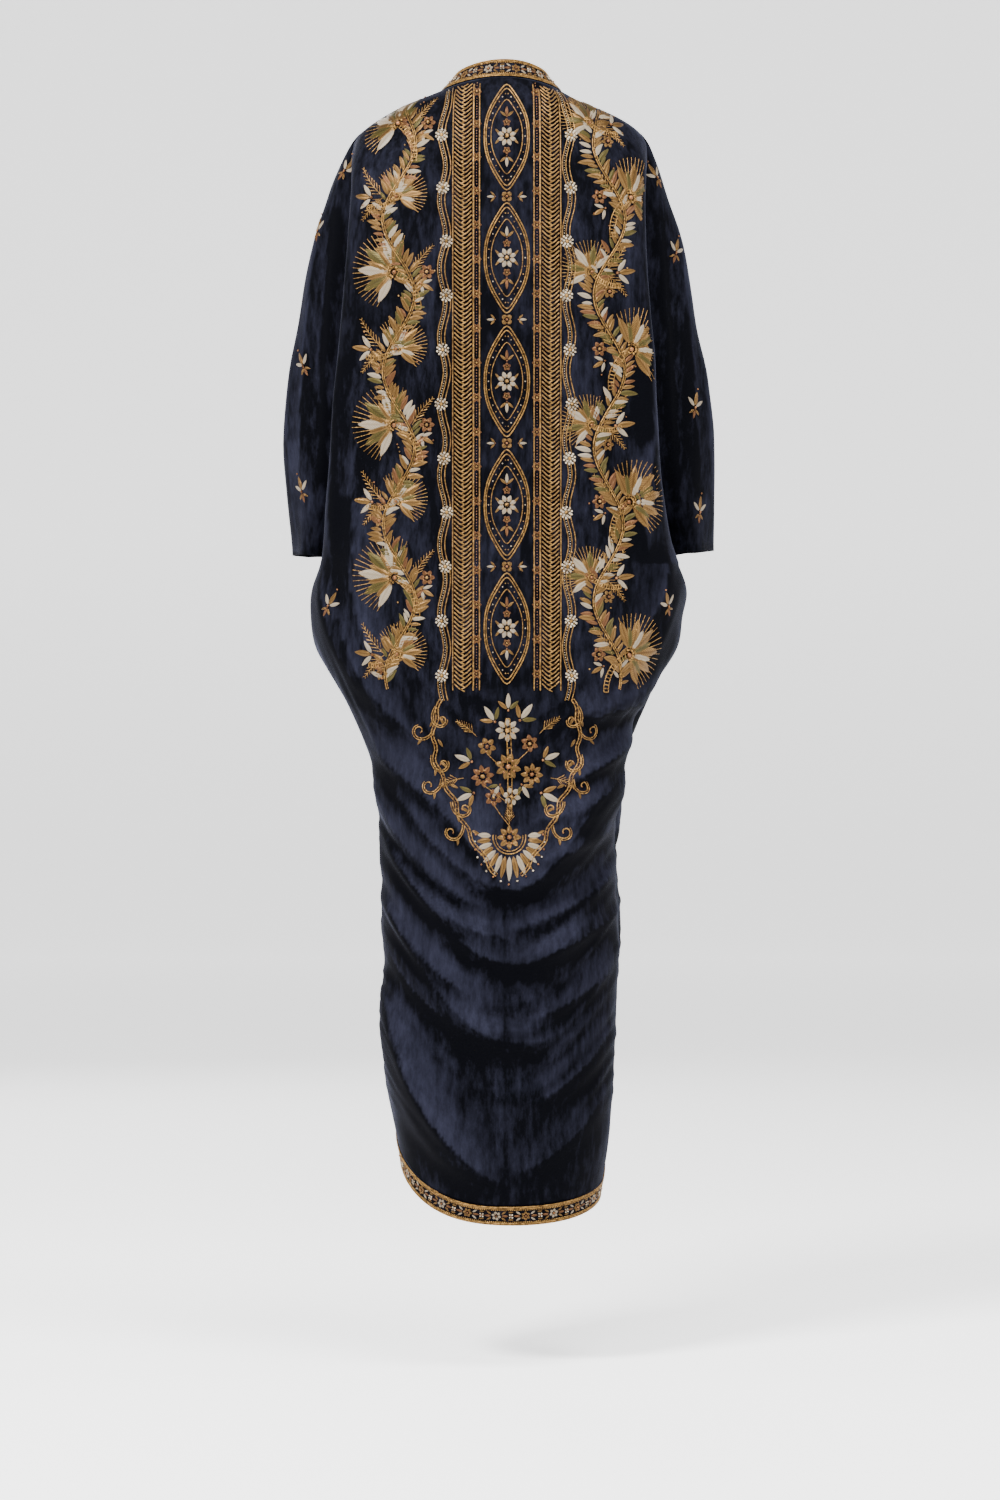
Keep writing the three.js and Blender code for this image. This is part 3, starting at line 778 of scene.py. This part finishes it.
def spray(work, at, angle, size, leaves, colours, stem_bend):
    """A burst of leaves over a fan of fine stitches, on a thick bent stem."""
    rays(work, at, angle, 168, 25, size * 0.16, size * 1.12)
    for i in range(leaves):
        share = i / (leaves - 1) - 0.5
        turn = angle + 158 * share
        long = size * (0.9 - 0.34 * abs(share)) * (1.0 if i % 2 == 0 else 0.72)
        leaf(work, polar(at, turn, size * 0.14), turn, long, colours[i % len(colours)], bend=0.16 * share)
    bead(work, at, size * 0.13, COPPER)
    for i in range(7):
        bead(work, polar(at, angle + 180 * (i / 6 - 0.5), size * 0.12), size * 0.07, GOLD)
    ribbed_stem(work, arc(at, angle + 180, size * 1.15, stem_bend, 13), size * 0.14)


# %% [markdown]
# Down the middle of the back runs a chain of pointed medallions between two plaited bands. Plait, couched
# cords and a wavy ribbon are old patterns of gold embroidery. The figures inside the medallions are a plain
# design of rosettes and sprigs of our own.

# %% The middle columns
back_work = new_work()
TOP = 7
BOTTOM = -744
RIBBON_TOP = 3
RIBBON_END = -756


def plait(work, middle, half, low, high):
    """Slanted stitches that cross in the middle, between two cords."""
    pitch = 5.4
    for k in range(int((high - low) / pitch)):
        z = low + k * pitch
        for side, shift in ((1, 0.0), (-1, pitch / 2)):
            start = (middle - side * 2.2, z + shift - 1.4)
            knee = (middle + side * half * 0.45, z + shift + 2.6)
            end = (middle + side * half, z + shift + 8.2)
            if end[1] < high:
                cord(work, [start, knee, end], GOLD, 0.8, 0.9)
    for off in (-half - 1.9, half + 1.9):
        cord(work, [(middle + off, z) for z in np.linspace(low, high, 120)], GOLD, 0.7)


def straight_lines(work, middle, low, high):
    for off in (-3.6, 3.6):
        cord(work, [(middle + off, z) for z in np.linspace(low, high, 120)], GOLD, 0.8)
    for z in np.arange(low + 20, high - 10, 42.0):
        rosette(work, (middle, z), 11, 6, COPPER, GOLD)
    for z in np.arange(low + 4, high, 3.5):
        if abs((z - low - 20 + 21) % 42 - 21) > 6:
            bead(work, (middle, z), 1.5, COPPER)


def wavy_ribbon(work, middle, low, high, phase):
    def sway(z):
        return middle + 3.6 * math.sin((z + phase) / 84 * 2 * math.pi)

    for off in (-4.4, 0, 4.4):
        cord(work, [(sway(z) + off, z) for z in np.linspace(low, high, 150)], GOLD, 0.62)
    for z in np.arange(low + 1, high, 3.0):
        bead(work, (sway(z) + 2.2, z), 1.3, IVORY)
    for z in np.arange(low + 30, high - 12, 66.0):
        flower_knot(work, (sway(z), z), 13)


for middle in (51, -55.5):
    plait(back_work, middle, 10.5, BOTTOM, TOP)
for middle in (34.5, -39):
    straight_lines(back_work, middle, BOTTOM, TOP)
for middle, phase in ((74, 0), (-78, 40)):
    wavy_ribbon(back_work, middle, RIBBON_END, RIBBON_TOP, phase)


def pointed_oval(at, half_width, half_height, count=44):
    """A closed line with a point above and below, and a slight waist next to each point."""
    points = []
    for i in range(count + 1):
        turn = 2 * math.pi * i / count
        up = math.sin(turn)
        out = math.cos(turn)
        pinch = 1 - 0.28 * abs(up) ** 3
        points.append((at[0] + half_width * out * pinch, at[1] + half_height * up * (1 + 0.12 * abs(up) ** 9)))
    return points


def medallion(work, at, half_width, half_height, turned):
    for grow, colour, radius in ((1.0, GOLD, 0.8), (0.92, GOLD, 0.7), (0.7, COPPER, 0.5)):
        cord(work, pointed_oval(at, half_width * grow, half_height * (grow + 0.01)), colour, radius)
    for i, point in enumerate(pointed_oval(at, half_width * 0.81, half_height * 0.83, 30)):
        bead(work, point, 1.7, GOLD if i % 3 else IVORY)
    rosette(work, at, 22, 8, IVORY, GOLD, 22.5)
    for side in (1, -1):
        middle = (at[0], at[1] + side * half_height * 0.3)
        rosette(work, middle, 9, 5, COPPER, GOLD, 90 * side)
        foot = (at[0], at[1] + side * half_height * 0.42)
        colours = (GOLD, IVORY, GOLD) if side == turned else (GOLD, COPPER, GOLD)
        sprig(work, foot, 90 * side, 13, colours)
        for turn in (-70, 70):
            leaf(work, polar(at, 90 * side + turn, 9), 90 * side + turn * 0.6, 9, GOLD)


CENTRE = -2.3
MEDALLIONS = 5
SPAN = (TOP - BOTTOM) / MEDALLIONS
for i in range(MEDALLIONS):
    middle = (CENTRE, TOP - SPAN * (i + 0.5))
    medallion(back_work, middle, 27.5, SPAN * 0.395, 1 if i % 2 else -1)
    if i:
        joint = (CENTRE, TOP - SPAN * i)
        rosette(back_work, joint, 13, 4, GOLD, COPPER, 45)
        for side in (1, -1):
            sprig(back_work, (CENTRE + side * 14, joint[1]), 90 - side * 90, 10, (GOLD, IVORY, GOLD))
print("middle columns:", {kind: len(items) for kind, items in back_work.items()})

# %% [markdown]
# On both sides climbs a bent vine with sprays of padded leaves. Leaves of one thread lie next to leaves of
# another, in gold, dull antique gold and ivory, as in the real work, where each is filled in a different
# twist of metal thread. The vine is drawn by a rule with a fixed seed, so it is our own and comes out the
# same each time.

# %% The leaf vines
random.seed(11)
WAVE = 186.0


def vine_x(side, z):
    return side * (128 + 20 * math.sin((z + 30) / WAVE * 2 * math.pi)) + (3 if side > 0 else 0)


def vine(work, side):
    """A stem with leaves on both sides, and sprays, feathers and rosettes where it swings out and in."""
    heights = np.arange(-742, -26, 6.0)
    stem = [(vine_x(side, z), z) for z in heights]
    cord(work, stem, GOLD, 0.8)
    cord(work, beside(stem, 2.2), COPPER, 0.55)
    mix_of = (GOLD, ANTIQUE, GOLD, IVORY, GOLD, COPPER)
    for i in range(1, len(stem) - 1):
        for turn in (-1, 1):
            foot = stem[i] if turn > 0 else stem[i + 1]
            angle = heading(stem, i) + turn * random.uniform(36, 58)
            long = random.uniform(14, 24)
            leaf(work, polar(foot, angle, 2), angle, long, random.choice(mix_of), bend=turn * 0.14)
    for k, z in enumerate(np.arange(-700, -40, WAVE / 2)):
        outward, inward = (0, 180) if side > 0 else (180, 0)
        out = (k % 2 == 1) == (side > 0)
        at = (vine_x(side, z), z)
        tone = ((GOLD, ANTIQUE, GOLD, IVORY), (IVORY, GOLD, ANTIQUE, GOLD))[k % 2]
        lean = side * random.uniform(18, 34)
        if out:
            heart = polar(at, outward, 16)
            spray(work, heart, outward + lean, 50, 11, tone, side * 70)
            feather(work, polar(at, inward, 6), inward - side * 62, 40, side * 20, GOLD)
            rosette(work, polar(at, inward, 24), 17, 6, COPPER, GOLD)
            sprig(work, polar(at, inward + side * 40, 22), inward + side * 30, 17, (IVORY, GOLD))
        else:
            heart = polar(at, inward, 10)
            spray(work, heart, inward - lean * 1.6, 36, 9, tone, side * 60)
            feather(work, polar(at, outward, 6), outward + side * 40, 46, side * 24, GOLD)
            feather(work, polar(at, outward, 6), outward - side * 34, 38, -side * 20, ANTIQUE)
            sprig(work, polar(at, outward, 22), outward + side * 8, 24, (IVORY, GOLD, IVORY))
            rosette(work, polar(at, outward - side * 62, 26), 15, 6, GOLD, COPPER)
        for _ in range(5):
            spot = polar(at, random.uniform(0, 360), random.uniform(26, 40))
            bead(work, spot, 2.2, random.choice((GOLD, COPPER)))


vine(back_work, 1)
vine(back_work, -1)

# %% [markdown]
# The work ends in a point at the foot of the back. Scrolls of couched cord form its edge, a bouquet fills
# it, and a palmette of leaves closes its tip.

# %% The pointed end
def scroll(work, at, angle, size, hand):
    """A C-shaped scroll that winds in at its end, in a double cord with a small leaf on its back."""
    points, here, turn = [at], at, angle
    for i in range(22):
        turn += hand * (6 + 1.05 * i)
        here = polar(here, turn, size * 0.095 * (1 - 0.021 * i))
        points.append(here)
    cord(work, points, GOLD, 0.8)
    cord(work, beside(points[:17], -hand * 2.4), GOLD, 0.6)
    leaf(work, points[6], heading(points, 6) - hand * 50, size * 0.36, GOLD)
    bead(work, points[-1], 2.4, COPPER)


def end_edge(side, share):
    """The edge of the pointed end: from the ribbon down to the tip."""
    half = (79 + 12 * math.sin(math.pi * min(1, share * 1.9))) * (1 - share**2.6)
    return (CENTRE - 2 * share + side * half, RIBBON_END - 226 * share)


for side in (1, -1):
    edge = [end_edge(side, share) for share in np.linspace(0, 0.93, 46)]
    wobble = [(x + side * 2.2 * math.sin(i * 0.9), z) for i, (x, z) in enumerate(edge)]
    cord(back_work, wobble, GOLD, 0.8)
    cord(back_work, beside(wobble, side * 3.4), GOLD, 0.7)
    for point in beside(wobble, side * 1.7):
        bead(back_work, point, 1.3, COPPER)
    for k, i in enumerate(range(2, 38, 6)):
        along = heading(edge, i)
        scroll(back_work, beside(edge, side * 4)[i], along + side * 24, 30, side if k % 2 else -side)
        leaf(back_work, beside(edge, -side * 3)[i + 2], along - side * 40, 12, GOLD)

TIP = (CENTRE - 3, -922)
for i in range(17):
    turn = -90 + 190 * (i / 16 - 0.5)
    long = 47 - 15 * abs(i / 8 - 1) ** 0.8
    leaf(back_work, polar(TIP, turn, 22), turn, long - 14, GOLD if i % 2 else IVORY, width=7.5)
    bead(back_work, polar(TIP, turn, long + 9.5), 2.6, IVORY if i % 2 else COPPER)
for far, colour, radius in ((20, GOLD, 0.8), (16.6, COPPER, 0.6)):
    cord(back_work, [polar(TIP, -90 + 200 * (i / 30 - 0.5), far) for i in range(31)], colour, radius)
rosette(back_work, TIP, 26, 8, GOLD, COPPER)
feather(back_work, polar(TIP, 90, 12), 90, 26, 0, ANTIQUE)

ribbed_stem(back_work, arc((CENTRE - 3, -896), 92, 118, -6, 10), 5)
BLOOMS = [
    (-3, -792, 26, IVORY), (22, -812, 20, GOLD), (-30, -808, 19, COPPER), (27, -848, 25, COPPER),
    (-33, -846, 24, GOLD), (-4, -836, 29, GOLD), (-8, -872, 20, IVORY), (14, -874, 19, COPPER),
]
for k, (x, z, size, colour) in enumerate(BLOOMS):
    rosette(back_work, (x, z), size, 8 if size > 22 else 6, colour, GOLD if colour != GOLD else COPPER, 12 * k)
    cord(back_work, [(x, z - size * 0.4), ((x + CENTRE) / 2, z - 20), (CENTRE - 3, z - 34)], GOLD, 0.5)
for x, z, angle, size in (
    (-18, -780, 128, 24), (12, -782, 55, 22), (40, -830, 20, 22), (-46, -828, 160, 22), (38, -868, -24, 22),
    (-44, -868, 206, 24), (6, -858, -60, 18), (-20, -858, 240, 18), (-4, -768, 90, 20),
):
    sprig(back_work, (x, z), angle, size, (GOLD, IVORY, ANTIQUE))
for x, z, angle, bend in (
    (34, -800, 48, -20), (-42, -796, 132, 20), (50, -850, -6, -30), (-56, -850, 186, 30),
):
    feather(back_work, (x, z), angle, 30, bend, GOLD)

# %% [markdown]
# Small sprigs are scattered over the rest of the back and the sleeves. Each is drawn on a patch of its own,
# one after the other along the flat work.

# %% Scattered sprigs
PATCH = 1000
SPRIGS = [
    (232, -172, 80), (250, -340, 60), (252, -495, 75), (-212, -200, 110), (-236, -391, 100), (-242, -520, 95),
    (-188, -108, 60), (198, -100, 130), (216, -640, 120), (-200, -640, 60),
]
sprig_work = new_work()
for k, (x, z, angle) in enumerate(SPRIGS):
    heart = (k * PATCH, 0)
    sprig(sprig_work, heart, angle, 19, (IVORY, GOLD, IVORY))
    sprig(sprig_work, polar(heart, angle + 180, 2), angle + 180, 12, (GOLD, COPPER, GOLD))
    bead(sprig_work, polar(heart, angle, 23), 2.4, COPPER)
print("back work:", {kind: len(items) for kind, items in back_work.items()})

# %% [markdown]
# Now the work is laid on the cloth. For the back, the cloth is measured once on a fine grid by casting rays
# at it. Each row of the grid is then measured along the cloth, out from the middle, so that the work keeps
# its widths where the back turns round to the side. What would reach past the cloth's edge is left off.

# %% Lay the work on the back
GRID = 3.0
SIDE = 240
Z_FROM, Z_TO = -1005, 27
STEEP = 14
ROW_STEP = 1.5
FRONT_WALL = -0.03
UP = Vector((0, 0, 1))


def joined_tree(pieces):
    bm = opened(*(piece.data for piece in pieces))
    tree = BVHTree.FromBMesh(bm)
    bm.free()
    return tree


back_tree = joined_tree([panels["back"]])
xs = np.arange(-SIDE, SIDE + GRID, GRID)
zs = np.arange(Z_FROM, Z_TO, GRID)


def seen_from_behind(tree, x, z):
    return tree.ray_cast(Vector((x * MM, 1, z * MM)), Vector((0, -1, 0)))


def half_row(z, way):
    """The cloth's course at one height from the middle to one side: distance along it, and place."""
    course = []
    for x in np.arange(0, SIDE + GRID, ROW_STEP) * way:
        hit = seen_from_behind(back_tree, x, z)[0]
        if hit is None or hit.y < FRONT_WALL or (course and abs(hit.y / MM - course[-1][1]) > STEEP):
            break
        course.append((x, hit.y / MM))
    return np.array(course)


cloth_x = np.full((len(xs), len(zs)), np.nan)
cloth_y = np.full((len(xs), len(zs)), np.nan)
for j, z in enumerate(zs):
    for way in (1, -1):
        course = half_row(z, way)
        if len(course) < 3:
            continue
        along = np.concatenate([[0], np.cumsum(np.hypot(*np.diff(course, axis=0).T))]) * way
        mine = np.flatnonzero((xs * way >= 0) & (np.abs(xs) <= abs(along[-1])))
        cloth_x[mine, j] = np.interp(np.abs(xs[mine]), np.abs(along), course[:, 0])
        cloth_y[mine, j] = np.interp(np.abs(xs[mine]), np.abs(along), course[:, 1])
place = np.stack([cloth_x, cloth_y, np.broadcast_to(zs, cloth_x.shape)], axis=-1)
facing = np.cross(np.gradient(place, axis=1), np.gradient(place, axis=0))
facing /= np.linalg.norm(facing, axis=-1)[..., None]


def read_grid(values, x, z):
    """Values of the grid at any place, straight between its four nearest points."""
    across = np.clip((x - xs[0]) / GRID, 0, len(xs) - 1.001)
    up = np.clip((z - Z_FROM) / GRID, 0, len(zs) - 1.001)
    i, j = across.astype(int), up.astype(int)
    s, t = (across - i)[:, None], (up - j)[:, None]
    low = values[i, j] * (1 - s) + values[i + 1, j] * s
    high = values[i, j + 1] * (1 - s) + values[i + 1, j + 1] * s
    return low * (1 - t) + high * t


def lay_on_back(points):
    """Points across, height and along become points on the back; those beside the cloth become nan."""
    x, height, z = points.T
    return read_grid(place, x, z) + read_grid(facing, x, z) * height[:, None]


REACH = 0.03
ABOVE_PATCH = 15
all_tree = joined_tree(panels.values())
patches = []
for x, z, _ in SPRIGS:
    heart, normal, _, _ = seen_from_behind(all_tree, x, z)
    across = normal.cross(UP).normalized()
    patches.append((heart / MM, normal, across, across.cross(normal)))


def lay_on_patches(points):
    """Each sprig goes on the cloth where its patch lies, as rays from outside find it."""
    found = np.full(points.shape, np.nan)
    for k, (u, height, v) in enumerate(points):
        number = round(u / PATCH)
        heart, normal, across, up = patches[number]
        start = heart + across * (u - number * PATCH) + up * v + normal * ABOVE_PATCH
        hit, face_normal, _, _ = all_tree.ray_cast(start * MM, -normal, REACH)
        if hit is not None:
            found[k] = hit / MM + face_normal * height
    return found


print("cloth found at", int(np.isfinite(cloth_y).sum()), "of", cloth_y.size, "grid points")

# %% [markdown]
# On the real garment the cords are couched: laid on the velvet and held by small stitches across them. Here
# a cord is a curve with a round section, turned to a mesh. Leaves and beads are the patterns, repeated at
# each of their places.

# %% Make the stitches
def cord_mesh(name, cords, lay):
    """Every cord of a drawing, each with its own thickness and thread."""
    curve = bpy.data.curves.new(name, "CURVE")
    curve.dimensions = "3D"
    curve.bevel_depth = 1.0
    curve.bevel_resolution = 0
    curve.use_fill_caps = True
    for points, colour, radius, height in cords:
        line = curve.splines.new("POLY")
        line.points.add(len(points) - 1)
        line.material_index = colour
        line.use_smooth = True
        for point, (x, z) in zip(line.points, points):
            point.co = (x, height, z, 1)
            point.radius = radius
    mesh = applied(placed(name, curve))
    return laid(name, mesh, lay(points_of(mesh)))


def repeated(name, pattern, places, colours, lay):
    """One mesh of a pattern at many places, each a function that moves the pattern's points there."""
    count = len(pattern.vertices)
    base = points_of(pattern)
    points = np.concatenate([place(base) for place in places])
    faces = np.array([tuple(face.vertices) for face in pattern.polygons])
    sides = faces.shape[1]
    corners = (faces[None] + count * np.arange(len(places))[:, None, None]).ravel()
    mesh = bpy.data.meshes.new(name)
    mesh.vertices.add(len(points))
    mesh.loops.add(len(corners))
    mesh.polygons.add(len(corners) // sides)
    mesh.loops.foreach_set("vertex_index", corners)
    mesh.polygons.foreach_set("loop_start", np.arange(0, len(corners), sides))
    mesh.polygons.foreach_set("material_index", np.repeat(colours, len(faces)))
    mesh.polygons.foreach_set("use_smooth", np.ones(len(corners) // sides, bool))
    if pattern.uv_layers:
        stitch = np.empty(len(pattern.loops) * 2)
        pattern.uv_layers[0].data.foreach_get("uv", stitch)
        mesh.uv_layers.new(name="stitch").data.foreach_set("uv", np.tile(stitch, len(places)))
    mesh.update(calc_edges=True)
    return laid(name, mesh, lay(points))


def laid(name, mesh, at):
    """Puts a mesh's points on the cloth, and drops every face that reaches past the cloth's edge."""
    lost = ~np.isfinite(at).all(axis=1)
    at[lost] = 0
    mesh.vertices.foreach_set("co", (at * MM).ravel())
    mesh.name = name
    if lost.any():
        bm = opened(mesh)
        bm.verts.ensure_lookup_table()
        bmesh.ops.delete(bm, geom=[bm.verts[i] for i in np.flatnonzero(lost)], context="VERTS")
        bm.to_mesh(mesh)
        bm.free()
    mesh.update()
    return placed(name, mesh)


def leaf_place(x, z, angle, length, half, bend, puff):
    def place(base):
        along, side, up = base.T
        v = side * half + bend * length * (along**2)
        u = along * length
        return np.stack([x + u * math.cos(angle) - v * math.sin(angle), up * puff,
                         z + u * math.sin(angle) + v * math.cos(angle)], axis=1)
    return place


def bead_place(x, z, size):
    def place(base):
        return np.stack([x + base[:, 0] * size, (base[:, 2] + 0.35) * size, z + base[:, 1] * size], axis=1)
    return place


def make_up(name, work, lay):
    """The pieces of one drawing, laid on the cloth; cords are left out where the drawing has none."""
    made = []
    if work["cords"]:
        made.append((cord_mesh(name + "_cords", work["cords"], lay), CORD_FINISH))
    for kind, shape, place_of, finishes in (
        ("leaves", LEAF, leaf_place, LEAF_FINISH), ("beads", BEAD, bead_place, BEAD_FINISH),
    ):
        places = [place_of(*item[:-1]) for item in work[kind]]
        colours = [item[-1] for item in work[kind]]
        made.append((repeated(f"{name}_{kind}", shape, places, colours, lay), finishes))
    for piece, finishes in made:
        for material in finishes:
            piece.data.materials.append(material)
        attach(piece, "root")
        print(piece.name, sum(len(face.vertices) - 2 for face in piece.data.polygons), "triangles")
    return [piece for piece, _ in made]


back_pieces = make_up("back_embroidery", back_work, lay_on_back)
sprig_pieces = make_up("scattered_sprigs", sprig_work, lay_on_patches)

# %% [markdown]
# The same flat way serves the bands round the edges. The rim of a band's outer wall is walked round once,
# and its points are paired across the band, so that the pairs are cross lines in order. The work is drawn
# along the band's middle and laid on with rays.

# %% The embroidered bands
RIM_WIDTH = 0.0031
ABOVE_BAND = 12


def wall_strips(bm):
    """The strips of a band's wide faces: one for its outer wall and one for its inner wall."""
    wide = [f for f in bm.faces if min(e.calc_length() for e in f.edges) > RIM_WIDTH]
    return hanging_together(wide, lambda face: [n for e in face.edges for n in e.link_faces])


def out_and_up(strip):
    middles = [face.calc_center_median() for face in strip]
    return sum(m.xy.length + m.z for m in middles) / len(middles)


def band_lines(name):
    """The cross lines of a band's outer wall, in order, each as its two ends and the wall's normal there."""
    bm = opened(quad_grid(name))
    wall = set(max(wall_strips(bm), key=out_and_up))
    rim = [e for f in wall for e in f.edges if sum(n in wall for n in e.link_faces) == 1]
    at_vert = {}
    for edge in rim:
        for vert in edge.verts:
            at_vert.setdefault(vert, []).append(edge)
    edge = min(rim, key=lambda e: e.index)
    ring = [edge.verts[0]]
    while (vert := edge.other_vert(ring[-1])) is not ring[0]:
        ring.append(vert)
        edge = next(e for e in at_vert[vert] if e is not edge)
    half = len(ring) // 2

    def pairs(first):
        return [(ring[first - 1 - k], ring[(first + k) % len(ring)]) for k in range(half)]

    best = min((pairs(i) for i in range(half)), key=lambda p: sum((a.co - b.co).length_squared for a, b in p))
    lines = []
    for a, b in best:
        normal = sum((f.normal for v in (a, b) for f in v.link_faces if f in wall), Vector())
        lines.append([list(a.co / MM), list(b.co / MM), list(normal.normalized())])
    print(name, "has", len(lines), "cross lines")
    bm.free()
    return np.array(lines)


def band_layer(name, lines):
    """A function that lays points along, height and across on one band, and the band's length."""
    tree = joined_tree([bands[name]])
    middle = lines[:, :2].mean(axis=1)
    along = np.concatenate([[0], np.cumsum(np.linalg.norm(np.diff(middle, axis=0), axis=1))])
    square = lines[:, 2]

    def lay(points):
        laid_points = np.full(points.shape, np.nan)
        for k, (s, height, t) in enumerate(points):
            i = int(np.clip(np.searchsorted(along, s) - 1, 0, len(along) - 2))
            share = (s - along[i]) / (along[i + 1] - along[i])
            line = lines[i] * (1 - share) + lines[i + 1] * share
            normal = square[i] * (1 - share) + square[i + 1] * share
            wide = np.linalg.norm(line[1] - line[0])
            here = line[0] + (line[1] - line[0]) * (0.5 + t / wide)
            start = Vector((here + normal * ABOVE_BAND) * MM)
            hit, face_normal, _, _ = tree.ray_cast(start, Vector(-normal), REACH)
            if hit is None:
                laid_points[k] = here + normal * height
            else:
                laid_points[k] = np.array(hit) / MM + np.array(face_normal) * height
        return laid_points

    return lay, along[-1]


def band_design(length):
    """Two double cords with rows of beads, and rosettes with small leaves in a row between them."""
    work = new_work()
    steps = np.linspace(0, length, round(length / 4))
    for t, radius in ((10.9, 0.85), (9.1, 0.75), (-9.1, 0.75), (-10.9, 0.85)):
        cord(work, [(s, t) for s in steps], GOLD, radius)
    for s in np.arange(2, length - 1, 2.3):
        for side in (7.4, -7.4):
            bead(work, (s, side), 1.7, GOLD)
    count = max(1, round(length / 36))
    pitch = length / count
    for k in range(count):
        s = (k + 0.5) * pitch
        rosette(work, (s, 0), 10.5, 6, IVORY if k % 2 else GOLD, COPPER, 15 * k)
        for way in (0, 180):
            for turn in (-34, 0, 34):
                colour = COPPER if turn == 0 else (GOLD if k % 2 else IVORY)
                leaf(work, polar((s, 0), way + turn * 0.5, 6.4), way + turn, 7.4 if turn else 9, colour)
        edge = (s + pitch / 2, 0)
        if k < count - 1:
            for i in range(4):
                bead(work, polar(edge, 90 * i + 45, 2.2), 2.2, IVORY)
            bead(work, edge, 2.0, COPPER)
            for side in (1, -1):
                leaf(work, (edge[0] - 3.4, side * 4.6), 0, 6.8, GOLD, puff=1.0)
    return work


band_pieces = {}
for name in BANDS:
    lay, length = band_layer(name, band_lines(name))
    print(name, "is", round(length), "mm long")
    band_pieces[name] = make_up(name, band_design(length), lay)

# %% [markdown]
# Last, the record of the cut. Each panel and band prints its cloth area and the size it was cut to. That size
# is measured along the cloth and rounded up a little, but a sleeve's length is a guess, since part of it lies
# hidden in the fold under the arm. Each sheet hangs from the root, as the work on it does, and the model's
# own parts for it are hidden.

# %% Measure, and finish
CUT = {
    "back": (0.68, 1.48), "front_left": (0.26, 1.36), "front_right": (0.25, 1.38),
    "sleeve_left": (0.25, 0.62), "sleeve_right": (0.26, 0.62),
    "neck_band": (0.027, 0.22), "front_band_left": (0.026, 1.45), "front_band_right": (0.026, 1.48),
    "hem_band": (0.026, 0.41),
}
WORK_ON = {**band_pieces, "back": back_pieces + sprig_pieces}
cloth = {**panels, **bands}
for name, piece in cloth.items():
    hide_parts(*HALVES.get(name, [name]))
    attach(piece, "root")
    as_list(WORK_ON.get(name, []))
    area = sum(face.area for face in piece.data.polygons) / 2
    print(name, "cloth area", round(area, 4), "square metres, cut to", CUT[name], "metres")
